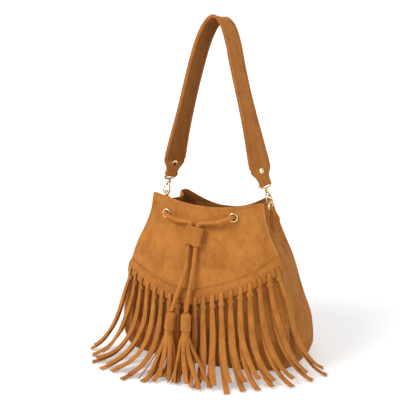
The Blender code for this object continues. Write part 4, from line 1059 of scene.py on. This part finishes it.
def slider_place(u, v):
    turn = 2 * math.pi * u
    t = 2 * v - 1
    flare = 1 + 0.05 * max(0.0, t) ** 3 - 0.02 * math.cos(t * math.pi)
    valley = 0.20 + 0.16 * v ** 2
    across, out = sleeve_ring(turn, SLIDER_SIZE[0] * flare, SLIDER_SIZE[1] * (1 + 0.06 * v), valley)
    wave = 0.8 * MM * v ** 4 * math.cos(across / SLIDER_SIZE[0] * 4 * math.pi)
    deep = np.cross(CORD_SLOPE, (1, 0, 0))
    down = t * SLIDER_SIZE[2] / 2 - wave
    leant = across * math.cos(SLIDER_LEAN) - down * math.sin(SLIDER_LEAN)
    down = down * math.cos(SLIDER_LEAN) + across * math.sin(SLIDER_LEAN)
    return SLIDER_CENTRE + np.array([leant, 0, 0]) + deep * out + CORD_SLOPE * down


slider = outwards(laid_sheet("soft_cord_slider", 72, 28, slider_place), merge=True)
thicken(slider, 1.7 * MM, -1, 0.5 * MM, 2)
finish_piece(slider, SUEDE_TRIM, "slider", ["cord_slider"], 50)

# %% [markdown]
# Stitches are short rounded bars, modelled once and copied to where the seams run. The frame of
# each copy comes from the seam: along it, across it and out of the surface.

# %% Stitch rows
def stitch_frame(place, along, out):
    along = unit(along)
    across = unit(np.cross(out, along))
    made = np.eye(4)
    made[:3] = np.stack([along, across, np.cross(along, across), place], axis=1)
    return made


def stitch_bar(length, radius):
    bar = added(bpy.ops.mesh.primitive_uv_sphere_add, "stitch", segments=8, ring_count=6, radius=1)
    for point in bar.data.vertices:
        x, y, z = point.co
        point.co = (z * length / 2, x * radius, y * radius * 0.8)
    return bar


def stitch_row(name, lines, body, length, radius, pitch, look=THREAD):
    """lines holds (points, outs) pairs; the stitches are laid along each at the pitch."""
    bar = stitch_bar(length, radius)
    frames = []
    for points, outs in lines:
        points, outs = np.asarray(points, float), np.asarray(outs, float)
        run = run_lengths(points)
        for at in np.arange(pitch / 2, run[-1], pitch):
            here = between(points, run, at)
            ahead = between(points, run, at + 0.5 * MM)
            if np.linalg.norm(ahead - here) > 1e-5:
                frames.append(stitch_frame(here, ahead - here, between(outs, run, at)))
    made = copies(name, bar, frames)
    drop(bar)
    print(name, len(frames), "stitches")
    return finish_piece(made, look, body, angle=80)


def surface_line(panel, z_of, off):
    places = [(s, z_of(s)) for s in np.linspace(-0.95, 0.95, 120)]
    return [skin(panel, s, z, off) for s, z in places], [surface_normal(panel, s, z) for s, z in places]


HEM_STITCH, STITCH_OFF = 2.8 * MM, 0.15 * MM
lines = [surface_line(panel, lambda s, p=panel: soft_rim(p, s) - HEM_STITCH, STITCH_OFF)
         for panel in ("front", "back")]
stitch_row("rim_stitches", lines, "bag", 2.2 * MM, 0.26 * MM, 3.2 * MM)
line = surface_line("front", lambda s: band_edge(s) + BAND_HEIGHT - 1.9 * MM,
                    BAND_OFF_TOP + BAND_THICK + STITCH_OFF)
stitch_row("band_stitches", [line], "bag", 2.2 * MM, 0.32 * MM, 3.3 * MM)

slider_lines = []
slider_out = np.cross((1, 0, 0), CORD_SLOPE)
for t in (-0.80, -0.62):
    row = []
    for x in np.linspace(-0.40, 0.40, 24):
        turn = -math.acos(math.copysign(min(1, abs(x * 2)) ** (1 / SLEEVE_ROUND), x))
        row.append(slider_place((turn / (2 * math.pi)) % 1.0, (t + 1) / 2) + slider_out * 0.1 * MM)
    slider_lines.append((row, [slider_out] * len(row)))
stitch_row("slider_stitches", slider_lines, "slider", 2.0 * MM, 0.33 * MM, 2.9 * MM)

# %% [markdown]
# Each cord end goes into a tassel: a thong wound about eight times round a head, and a bundle of
# flat thongs below. The grooves between the turns rise as they go round, as on a real winding.

# %% Tassels
HEAD_RADIUS = 8.4 * MM
HEAD_TALL = 0.030
SKIRT_STRANDS, STRAND_POINTS = 9, 34
WRAP_TURNS = 8


def drape_y(x, z):
    """How far forward the front layer of the fringe comes at this place."""
    s = max(-0.95, min(0.95, x / 0.136))
    foot = band_edge(s) - 0.008
    start = plan("front", s, foot)[1] - 5.6 * MM
    angle = smooth(s, TIP_AT, TIP_ANGLE)
    reach = -tip_reach(angle, x) * math.cos(angle) - start
    share = smooth(-z, [-foot * h for h in (1, 0.72, 0.53, 0.345, 0.195, 0.092, 0.03, 0)],
                   (0, 0.04, 0.10, 0.20, 0.35, 0.53, 0.76, 1.0))
    return start + reach * share - (LAYER + 2.2 * MM)


def head_radius(share, turn):
    """Radius of the winding: share from 0 at the cord to 1 at the skirt, turn once round."""
    shoulder = min(1.0, 0.52 + 3.6 * share) * min(1.0, 0.72 + 3.5 * (1 - share))
    phase = (share * WRAP_TURNS - turn) % 1.0
    groove = abs(math.sin(phase * math.pi)) ** 0.5
    return HEAD_RADIUS * shoulder * (0.90 + 0.10 * groove)


def tassel(side, lean, splay):
    axis = unit((lean, -0.13, -1.0))
    top = HEADS[side] + axis * 1.1 * MM
    side_way = unit(np.cross(axis, (0, 1, 0)))
    side_way = side_way * (1 if side_way[0] > 0 else -1)
    fore = np.cross(side_way, axis)
    fore = fore * (-1 if fore[1] > 0 else 1)

    def wound(u, v):
        a = 2 * math.pi * u
        r = head_radius(v, u) if 0 < v < 1 else 2.6 * MM
        return top + axis * (0.3 * MM + v * HEAD_TALL) + (side_way * math.cos(a) + fore * math.sin(a)) * r

    head = laid_sheet(f"soft_{side}_tassel_head", 40, 96, wound)
    edit(head)
    bpy.ops.mesh.remove_doubles(threshold=1e-6)
    bpy.ops.mesh.select_all(action="DESELECT")
    bpy.ops.mesh.select_non_manifold()
    bpy.ops.mesh.edge_face_add()
    bpy.ops.mesh.fill_holes(sides=0)
    outwards(head)
    finish_piece(head, SUEDE_CORD, replaces=[f"{side}_tassel_head"], angle=80)

    bottom = top + axis * (HEAD_TALL + 0.35 * MM)
    hang = unit((splay, -0.13, -1.0))
    middle = (HEADS["left"][0] + HEADS["right"][0]) / 2
    strips = []
    for k in range(SKIRT_STRANDS):
        a = 2 * math.pi * (k + 0.3) / SKIRT_STRANDS
        way = side_way * math.cos(a) + fore * math.sin(a)
        turned_to = -side_way * math.sin(a) + fore * math.cos(a)
        spread = (0.014 + 0.010 * abs(math.cos(a))) * (1.25 if side == "right" else 1.0)
        spread *= 0.45 if math.sin(a) < 0 else 1.0
        low = bottom[2] - rng.uniform(2.0, 7.0) * MM
        route = []
        for t in (0.0, 0.2, 0.45, 0.7, 0.88, 1.0):
            out = HEAD_RADIUS * (0.62 + 0.30 * min(1, t * 4)) + spread * t ** 1.5
            p = bottom + axis * 4 * MM + way * out
            fall = (low - 5 * MM) * t
            x, y = p[0] + hang[0] * fall * t, p[1] + hang[1] * fall - 0.002 * t
            z = max(bottom[2] - 4 * MM - fall, 4.5 * MM)
            keep = 1.4 * MM + 3.8 * MM * abs(turned_to[0])
            x = min(x, middle - keep) if side == "left" else max(x, middle + keep)
            if t > 0:
                low_in = 8 * MM * clamp((0.032 - z) / 0.02)
                y = min(y, drape_y(x, z) - 4.0 * MM - low_in - 4 * MM * abs(turned_to[1]))
            route.append((x, y, z))
        pts = even_line(route, STRAND_POINTS)
        outs = [unit(np.cross(run_at(pts, i), turned_to)) for i in range(STRAND_POINTS)]
        outs = [o if o @ way > 0 else -o for o in outs]
        widths = [4.6 * MM + 2.8 * MM * min(1, i / 12) for i in range(STRAND_POINTS)]
        strips.append(thong("strip", pts, [turned_to] * STRAND_POINTS, outs, widths, 1.7 * MM,
                            cup=-0.4 * MM, wave=0.5 * MM, slant=mood.uniform(-1.2, 1.2) * MM))
    core = turned("core", in_mm((1, -0.5), (6.72, -0.2), (7.06, 5), (4.2, 14), (1, 15)), bottom, axis, 24)
    skirt = join(f"soft_{side}_tassel_skirt", [core] + strips)
    finish_piece(skirt, SUEDE_CORD, replaces=[f"{side}_tassel_skirt"], angle=45)
    return head, skirt


TASSELS = {"left": tassel("left", -0.10, -0.06), "right": tassel("right", 0.02, 0.26)}

# %% [markdown]
# Hardware is all one bright pale gold. An eyelet is a rolled tube of thin sheet, with its collar
# in front and its washer behind the suede.

# %% Eyelets
EYELET_OUTER, EYELET_BORE, EYELET_LIP = 7.3 * MM, 4.3 * MM, 1.1 * MM
lip = [(EYELET_BORE + (EYELET_OUTER - EYELET_BORE) * (0.5 - 0.5 * math.cos(a)),
        EYELET_LIP * math.sin(a) + 0.2 * MM) for a in np.linspace(0.25, math.pi, 9)]
washer = [(r, h - SHELL) for r, h in in_mm((5.2, -0.1), (6.3, -0.2), (6.5, -0.7), (4.9, -0.9), (4.3, -0.3))]
section = [(EYELET_BORE, 0.0)] + lip + in_mm((7.0, 0.0), (5.2, 0.1)) + washer
for side, (middle, normal) in EYELETS.items():
    front = middle + normal * (SHELL / 2 + 0.1 * MM)
    ring = turned(f"soft_{side}_eyelet", section, front, normal, 48)
    finish_piece(ring, GOLD, replaces=[f"{side}_eyelet"], angle=50)

# %% [markdown]
# At each side a tab is sewn to the gusset and rolled round the straight bar of a D-ring. The
# right side is drawn, and the left is its mirror image: mirror() and mirrored() flip x.

# %% Side tabs
WIRE = 1.3 * MM
RING_BAR = np.array([0.0890, 0.0, 0.2535])
RING_RADIUS = 10.0 * MM
TAB_WIDE, TAB_LOW, TAB_THICK, TAB_ROLL = 12.5 * MM, 0.214, 2.4 * MM, 1.2 * MM
TAB_TWIST = math.radians(50)
TAB_STANDS_OFF = 4.4 * MM
ROLL_FROM = 28         # the point of its line from which the tab is thin and rolled
TWIST_ENDS, TWIST_ROWS = 31, 11
TAB_STITCHED = 24


def mirrored(sign, p):
    return np.array([p[0] * sign, p[1], p[2]])


def mirror(sign, points):
    return [mirrored(sign, p) for p in points]


def tab_line():
    """Middle line of the tab, from its rounded lower end up and round the bar."""
    def wall(z):
        return max(plan("right", t, z)[0] for t in np.linspace(-0.16, 0.16, 9))

    roll = WIRE + 0.45 * MM + TAB_ROLL / 2
    line = [np.array([wall(z) + 1.3 * MM + TAB_THICK / 2, 0, z])
            for z in np.linspace(TAB_LOW, RIDGE_Z - 4 * MM, 5)]
    for a in np.linspace(0.35, 4.2, 9):
        line.append(RING_BAR + np.array([roll * math.cos(a), 0, roll * math.sin(a)]))
    return even_line(line, 46)


def tab(side, sign):
    line = tab_line()
    rows = len(line) - 1
    length = length_of(line)

    def half_width(i):
        at = i / rows * length
        round_end = math.sqrt(max(0.0, 1 - (1 - min(1.0, at / (TAB_WIDE / 2))) ** 2))
        narrower = 1 - 0.26 * clamp((at - 0.026) / 0.006)
        return TAB_WIDE / 2 * max(0.28, round_end) * narrower

    def on_tab(i, across, off):
        """A place on the tab: its hanging end is turned towards the front with the gusset's fold."""
        share = clamp((TWIST_ENDS - i) / TWIST_ROWS)
        twist = TAB_TWIST * share
        run = run_at(line, i)
        side_way = np.array([math.sin(twist), math.cos(twist), 0])
        out = np.array([run[2] * math.cos(twist), -math.sin(twist), -run[0] * math.cos(twist)])
        moved = np.array([TAB_STANDS_OFF * share, 0, 0])
        return mirrored(sign, line[i] + side_way * across + out * off + moved)

    def place(u, v):
        i = int(round(v * rows))
        x = 2 * u - 1
        turned_edge = 0.22 * MM if abs(x) > 0.7 and i < ROLL_FROM else 0.0
        return on_tab(i, x * half_width(i), turned_edge)

    made = laid_sheet(f"soft_{side}_tab", 10, rows, place)
    if sign < 0:
        made.data.flip_normals()
    made.data.update()
    weights = made.vertex_groups.new(name="full")
    for k, v in enumerate(made.data.vertices):
        i = int(np.argmin(np.linalg.norm(line[:, [0, 2]] - np.array([v.co.x * sign, v.co.z]), axis=1)))
        weights.add([k], TAB_ROLL / TAB_THICK if i > ROLL_FROM else 1.0, "REPLACE")
    modify(made, "SOLIDIFY", thickness=TAB_THICK, offset=0.0, use_even_offset=False, vertex_group="full")
    bevel(made, 0.4 * MM, 2)
    finish_piece(made, SUEDE_TRIM, replaces=[f"{side}_tab"], angle=45)
    points, outs = [], []
    for way, rows_up in ((1, range(TAB_STITCHED, 0, -1)), (-1, range(1, TAB_STITCHED + 1))):
        for i in rows_up:
            inset = way * max(0.3 * MM, half_width(i) - 1.9 * MM)
            points.append(on_tab(i, inset, TAB_THICK / 2 + 0.25 * MM))
            outs.append(unit(on_tab(i, inset, TAB_THICK) - points[-1]))
    return points, outs


stitch_row("tab_stitches", [tab("left", -1), tab("right", 1)], "bag", 2.0 * MM, 0.32 * MM, 3.0 * MM)

# %% [markdown]
# A snap hook hangs the strap from each D-ring. Its loop is bent from round wire, its gate turns
# on a pin between two cheeks, and its collar holds the pin of a half-moon bow, which swivels.

# %% Rings, hooks, gates and bows
HOOK_LEAN = math.radians(17)
HOOK_DROP = 3.5 * MM
GATE_PIN = (3.7, 13.1)
BOW_HALF = 11.6 * MM
BOW_WIRE = 1.7 * MM
BOW_FLAT = 34.0
COLLAR_AT, POST_AT = 19.4, 21.9
CHEEK_AT = 1.95        # how far each cheek stands from the middle, in mm
GATE_ROD = 1.15 * MM
STRAP_TURN_FOOT = math.radians(37)
STRAP_TURN_TOP = math.radians(16)
STEM = np.array([-math.sin(HOOK_LEAN), 0, math.cos(HOOK_LEAN)])
ACROSS_STEM = np.array([math.cos(HOOK_LEAN), 0, math.sin(HOOK_LEAN)])
HOOK_LOW = RING_BAR + np.array([0, 0, RING_RADIUS - HOOK_DROP])


def hook_at(p, q, r=0.0):
    """A place on the right hook: p mm across the stem, q mm up it, r mm to the back."""
    return HOOK_LOW + ACROSS_STEM * p * MM + STEM * q * MM + np.array([0, r * MM, 0])


def cheek(sign, y):
    corners = ((0.4, 15.9), (0.4, 13.0), (3.0, 11.5), (5.2, 12.2), (5.0, 14.2), (3.0, 15.7))
    made = added(bpy.ops.mesh.primitive_circle_add, "cheek", vertices=len(corners), radius=1,
                 fill_type="NGON")
    for point, (p, q) in zip(made.data.vertices, corners):
        point.co = floats(mirrored(sign, hook_at(p, q, y)))
    modify(made, "SOLIDIFY", thickness=0.9 * MM, offset=0.0, use_even_offset=False)
    return outwards(bevel(made, 0.3 * MM, 2, 30))


COLLAR = in_mm((0.3, 0.1), (2.1, 0.0), (3.0, 0.6), (3.1, 1.2), (2.9, 1.8), (2.4, 2.1), (2.5, 4.6), (2.8, 5.0),
               (2.5, 5.4), (1.6, 5.4), (1.6, 2.4), (0.3, 2.4))
PIN = in_mm((0.05, -2.7), (0.7, -2.6), (0.7, 2.6), (0.05, 2.7))
KNUCKLE = in_mm((0.8, -1.1), (1.5, -1.1), (1.75, -0.8), (1.75, 0.8), (1.5, 1.1), (0.8, 1.1))
POST = in_mm((0.05, 0), (1.15, 0.1), (1.15, 4.6), (0.05, 5.0))
BEND = ((0, 20.0), (-1.7, 18.2), (-3.0, 14.4), (-4.3, 9.8), (-5.5, 5.2), (-4.8, 1.4), (0, 0),
        (4.8, 1.4), (5.5, 4.9))
ARM = ((0.3, 20.0), (1.8, 18.0), (3.2, 15.2))
ROD = ((5.45, 6.9), (5.1, 9.4), (4.5, 12.0))
BOW_SIDE = ((1.0, 34.0), (0.97, 31.8), (0.86, 29.5), (0.64, 27.6), (0.32, 26.4))   # half of the bow
BOW = [(-t, q) for t, q in BOW_SIDE] + [(0.0, 26.1)] + list(BOW_SIDE[::-1])


def hardware(side, sign):
    def bent(name, places, count, radius):
        """A wire through places on the hook."""
        line = even_line([hook_at(p, q) for p, q in places], count)
        return wire(name, mirror(sign, line), radius, sides=5)

    def at(p, q):
        return mirrored(sign, hook_at(p, q))

    up = mirrored(sign, STEM)
    ring_line = [RING_BAR + np.array([0, y, 0]) for y in np.linspace(-RING_RADIUS, RING_RADIUS, 9)]
    ring_line += [RING_BAR + np.array([0, RING_RADIUS * math.cos(a), RING_RADIUS * math.sin(a)])
                  for a in np.linspace(0, math.pi, 40)[1:-1]]
    ring = wire(f"soft_{side}_d_ring", mirror(sign, ring_line), WIRE, cyclic=True, sides=5)
    finish_piece(ring, GOLD, f"{side}_ring", [f"{side}_d_ring"], 60)

    pivot = at(*GATE_PIN)
    parts = [bent("loop", BEND, 72, WIRE), bent("arm", ARM, 14, WIRE),
             turned("collar", COLLAR, at(0, COLLAR_AT), up, 32),
             cheek(sign, -CHEEK_AT), cheek(sign, CHEEK_AT), turned("pin", PIN, pivot, (0, 1, 0), 16)]
    hook = join(f"soft_{side}_snap_hook", parts)
    finish_piece(hook, GOLD, f"{side}_hook", [f"{side}_snap_hook"], 40)

    gate = join(f"soft_{side}_hook_gate", [bent("rod", ROD, 12, GATE_ROD),
                                           turned("knuckle", KNUCKLE, pivot, (0, 1, 0), 24)])
    finish_piece(gate, GOLD, f"{side}_gate", [f"{side}_hook_gate"], 40)

    bar_way = np.array([math.sin(STRAP_TURN_FOOT) * sign, math.cos(STRAP_TURN_FOOT), 0]) * BOW_HALF
    arc = even_line([hook_at(0, q) + bar_way * t for t, q in BOW], 48)
    flat = [hook_at(0, BOW_FLAT) + bar_way * t for t in np.linspace(0.96, -0.96, 12)]
    moon = wire("moon", mirror(sign, list(arc) + flat), BOW_WIRE, cyclic=True, sides=5)
    eye = join(f"soft_{side}_swivel_eye", [moon, turned("post", POST, at(0, POST_AT), up, 20)])
    finish_piece(eye, GOLD, "strap", [f"{side}_swivel_eye"], 60)
    return at(0, BOW_FLAT)


FEET = {side: hardware(side, sign) for side, sign in SIDES}
print("hardware made")

# %% [markdown]
# The strap is one long band of two layers sewn back to back. The outer layer is folded round
# the bars of both bows and comes back up inside, where a rivet holds it.

# %% Shoulder strap
STRAP_WIDE, STRAP_END, STRAP_THICK = 0.0378, 0.0212, 4.4 * MM
STRAP_TIP = 0.0045     # how far the top of the arch leans to the right
STRAP_ROLL = math.radians(12)
NECK, SHOULDER = 0.003, 0.019
EDGE_WIDE = 4.2 * MM   # the turned edge that shows on the inner face
STRAP_ROUTE = ((0.0733, 0.312), (0.0680, 0.336), (0.0610, 0.366), (0.0515, 0.404),
               (0.0420, 0.442), (0.0330, 0.478), (0.0245, 0.510), (0.0140, 0.5345))
STRAP_TOP_Z = 0.5455
STRAP_SWAY = 0.0020
FOLD_BACK = 0.022
STRAP_POINTS = 181


def strap_line():
    foot = FEET["right"]
    half = [(foot[0] - 0.9 * MM, foot[2] + 3.3 * MM)] + list(STRAP_ROUTE) + [(0.0, STRAP_TOP_Z)]
    line = []
    for sign in (1, -1):
        for x, z in (half if sign > 0 else list(reversed(half[:-1]))):
            high = clamp((z - half[0][1]) / 0.03)
            tip = STRAP_TIP * max(0.0, (z - 0.46) / (STRAP_TOP_Z - 0.46)) ** 1.3
            line.append((sign * x - STRAP_SWAY * high * (1.0 if sign > 0 else 0.25) + tip, 0.0, z))
    return even_line(line, STRAP_POINTS)


strap_mid = strap_line()
strap_run = run_lengths(strap_mid)
strap_wide, strap_w, strap_n = [], [], []
for i, p in enumerate(strap_mid):
    grow = clamp((min(strap_run[i], strap_run[-1] - strap_run[i]) - NECK) / SHOULDER)
    strap_wide.append(STRAP_END + (STRAP_WIDE - STRAP_END) * eased(grow))
    high = clamp((p[2] - 0.328) / 0.11)
    turn = STRAP_TURN_FOOT + (STRAP_TURN_TOP - STRAP_TURN_FOOT) * (high * (2 - high))
    along = run_at(strap_mid, i)
    w = np.array([math.sin(turn), math.cos(turn), -math.sin(STRAP_ROLL) * high])
    strap_w.append(unit(w - along * (w @ along)))
    strap_n.append(np.cross(along, strap_w[-1]))
print("strap length", round(float(strap_run[-1]) * 1000), "mm")


def band_of(name, points, ws, ns, wides, thick, groove=True):
    """A band of leather along points, with a sewn groove inside each of its turned edges."""
    rows = len(points) - 1

    def place(u, v):
        i = int(round(v * rows))
        half = wides[i] / 2
        inset = min(STITCH_INSET, half * 0.4) if groove else half * 0.5
        stops = [-half + inset * share for share in (0, 0.5, 0.8, 1, 1.25)] + [-0.3 * half, 0.0]
        stops += [-x for x in stops[-2::-1]]
        k = int(round(u * (len(stops) - 1)))
        dip = 0.40 * MM if groove and k in (3, len(stops) - 4) else 0.0
        edge = 0.20 * MM if groove and (k < 3 or k > len(stops) - 4) else 0.0
        return points[i] + ws[i] * stops[k] + ns[i] * (edge - dip)

    made = laid_sheet(name, 12, rows, place)
    if np.array(made.data.polygons[0].normal) @ ns[0] < 0:
        made.data.flip_normals()
    return thicken(made, thick, 0.0, 0.5 * MM, 2)


LAYER_THICK = STRAP_THICK / 2
STITCH_INSET = 4.0 * MM


def fold(side):
    """The folded end at one foot, as (place, across, out, width): down the inner face, round the bar."""
    order = range(STRAP_POINTS) if side == "right" else range(STRAP_POINTS - 1, -1, -1)
    foot = order[0]
    w, n = strap_w[foot], strap_n[foot]
    up = np.cross(w, n)
    up = up if up[2] > 0 else -up
    inside = [i for i in order if abs(strap_run[i] - strap_run[foot]) <= FOLD_BACK][::-1]
    made = [(strap_mid[i] + strap_n[i] * LAYER_THICK / 2, strap_w[i], strap_n[i], strap_wide[i] - 1.0 * MM)
            for i in inside]
    round_bar = BOW_WIRE + 0.3 * MM + LAYER_THICK / 2
    for a in np.linspace(0, math.pi, 13):
        out = n * math.cos(a) - up * math.sin(a)
        made.append((FEET[side] + out * round_bar, w, out, STRAP_END - 2.0 * MM))
    return made


outside = [(strap_mid[i] - strap_n[i] * LAYER_THICK / 2, strap_w[i], -strap_n[i], strap_wide[i])
           for i in range(1, STRAP_POINTS - 1)]
outer = band_of("strap_outside", *zip(*(fold("right") + outside + fold("left")[::-1])), LAYER_THICK)
inner_range = [i for i in range(STRAP_POINTS)
               if FOLD_BACK + 0.5 * MM < strap_run[i] < strap_run[-1] - FOLD_BACK - 0.5 * MM]
inner_mid = [strap_mid[i] + strap_n[i] * LAYER_THICK / 2 for i in inner_range]
inner_w, inner_n = [strap_w[i] for i in inner_range], [strap_n[i] for i in inner_range]
edges = []
for sign in (-1, 1):
    places = [p + strap_w[i] * sign * (strap_wide[i] / 2 - EDGE_WIDE / 2)
              for p, i in zip(inner_mid, inner_range)]
    edges.append(band_of("turned_edge", places, inner_w, inner_n, [EDGE_WIDE] * len(places),
                         LAYER_THICK, False))
outer = join("soft_shoulder_strap", [outer] + edges)
finish_piece(outer, SUEDE_STRAP, "strap", ["shoulder_strap"], 45)
lining_mid = [p - n * 0.35 * MM for p, n in zip(inner_mid, inner_n)]
inner = band_of("soft_strap_inside", lining_mid, inner_w, inner_n,
                [strap_wide[i] - 2 * EDGE_WIDE - 0.2 * MM for i in inner_range], LAYER_THICK, False)
finish_piece(inner, SUEDE_BACKED, "strap", ["shoulder_strap"], 45)

for name, face, lift, indices, inset in (
        ("strap_stitches", -1, -0.2 * MM, inner_range, STITCH_INSET),
        ("strap_inside_stitches", 1, 0.05 * MM, inner_range[1:-1], EDGE_WIDE - 0.9 * MM)):
    lines = []
    for edge in (-1, 1):
        points = [strap_mid[i] + strap_w[i] * edge * (strap_wide[i] / 2 - inset)
                  + strap_n[i] * face * (LAYER_THICK + lift) for i in indices]
        lines.append((points, [strap_n[i] * face for i in indices]))
    stitch_row(name, lines, "strap", 2.8 * MM, 0.36 * MM, 3.8 * MM, DARK_THREAD)

RIVET_RADIUS = 4.4 * MM
for side, sign in SIDES[::-1]:
    spot = np.array([STRAP_ROUTE[0][0] * sign, 0, STRAP_ROUTE[0][1]])
    i = int(np.argmin(((strap_mid - spot) ** 2).sum(axis=1)))
    h = STRAP_THICK / 2 + 0.15 * MM
    cap = [(RIVET_RADIUS * math.cos(a), h + 1.1 * MM * math.sin(a)) for a in np.linspace(0.0, 1.5, 7)]
    profile = [(r, -y) for r, y in cap[::-1]] + [(1.6 * MM, -h), (1.6 * MM, h)] + cap
    rivet = turned(f"soft_{side}_strap_rivet", profile, strap_mid[i], strap_n[i], 32)
    finish_piece(rivet, GOLD, "strap", [f"{side}_strap_rivet"], 50)

# %% [markdown]
# A zip closes the pocket inside the back: a tape with two rows of teeth, a slider and its pull.

# %% Pocket zip
tape_low, tape_high = (np.array(c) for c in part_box("pocket_zip_tape"))
ZIP_Z = (tape_low[2] + tape_high[2]) / 2
ZIP_PARK = -0.0440
TOOTH_FACE = tape_low[1]
tape_mid_y = tape_high[1] - 0.45 * MM
TOOTH_PITCH, TOOTH_SHIFT = 1.15 * MM, 0.75 * MM


def zip_place(u, v):
    x = tape_low[0] + (tape_high[0] - tape_low[0]) * u
    z = tape_low[2] + (tape_high[2] - tape_low[2]) * v
    weave = 0.12 * MM * math.cos(u * 400)
    return np.array([x, tape_mid_y - weave * (abs(v - 0.5) < 0.2), z])


tape = laid_sheet("soft_pocket_zip_tape", 120, 12, zip_place)
thicken(tape, 0.8 * MM, 0.0, 0.2 * MM, 1)
# The tape takes the inside suede, whose darker colour is painted shade.
finish_piece(tape, SUEDE_INSIDE_SHADED, replaces=["pocket_zip_tape"])
tooth = added(bpy.ops.mesh.primitive_cube_add, "tooth", size=1)
for point in tooth.data.vertices:
    x, y, z = point.co
    point.co = (x * 1.0 * MM * (0.8 if y < 0 else 1.0), y * 1.2 * MM, z * 2.4 * MM)
modify(tooth, "BEVEL", width=0.2 * MM, segments=1)
frames = []
for k, x in enumerate(np.arange(tape_low[0] + 4 * MM, tape_high[0] - 4 * MM, TOOTH_PITCH)):
    spot = np.eye(4)
    spot[:3, 3] = (x, TOOTH_FACE + 0.7 * MM, ZIP_Z + (TOOTH_SHIFT if k % 2 else -TOOTH_SHIFT))
    frames.append(spot)
teeth = copies("zip_teeth", tooth, frames)
drop(tooth)
finish_piece(teeth, DARK, replaces=["pocket_zip_tape"], angle=30)
print("zip teeth:", len(frames))

RING_Y = TOOTH_FACE - 5.9 * MM


def oval_plate(name, x_half, z_half, y_front, y_back):
    made = added(bpy.ops.mesh.primitive_cylinder_add, name, vertices=28, radius=1, depth=1)
    for point in made.data.vertices:
        x, y, z = point.co
        point.co = (ZIP_PARK + x * x_half, y_front + (z + 0.5) * (y_back - y_front), ZIP_Z + y * z_half)
    return bevel(outwards(made), 0.45 * MM, 3)


body = oval_plate("body", 5.1 * MM, 3.5 * MM, TOOTH_FACE - 2.4 * MM, TOOTH_FACE - 0.35 * MM)
lug_side = [(3.2 * MM, TOOTH_FACE - 1.8 * MM), (2.6 * MM, RING_Y + 0.8 * MM), (1.5 * MM, RING_Y)]
lug_route = [(ZIP_PARK - x, y, ZIP_Z) for x, y in lug_side]
lug_route += [(ZIP_PARK + x, y, ZIP_Z) for x, y in lug_side[::-1]]
lug = wire("lug", even_line(lug_route, 28), 0.7 * MM, sides=4)
zip_slider = join("soft_pocket_zip_slider", [body, lug])
finish_piece(zip_slider, DARK, "zip_slider", ["pocket_zip_slider"], 40)
ring = turned("ring", in_mm((1.7, -0.55), (2.1, -0.6), (2.8, -0.5), (2.9, 0.0), (2.8, 0.5), (2.1, 0.6),
                            (1.7, 0.55)), (ZIP_PARK, RING_Y, ZIP_Z), (1, 0, 0), 28)
grip = added(bpy.ops.mesh.primitive_cube_add, "grip", size=1)
for point in grip.data.vertices:
    x, y, z = point.co
    point.co = (ZIP_PARK + x * (4.8 * MM if z < 0 else 3.6 * MM), RING_Y + y * 1.2 * MM,
                ZIP_Z - 12.1 * MM + z * 19.6 * MM)
modify(grip, "BEVEL", width=0.45 * MM, segments=3)
pull = join("soft_pocket_zip_pull", [ring, grip])
finish_piece(pull, DARK, "zip_pull", ["pocket_zip_pull"], 40)
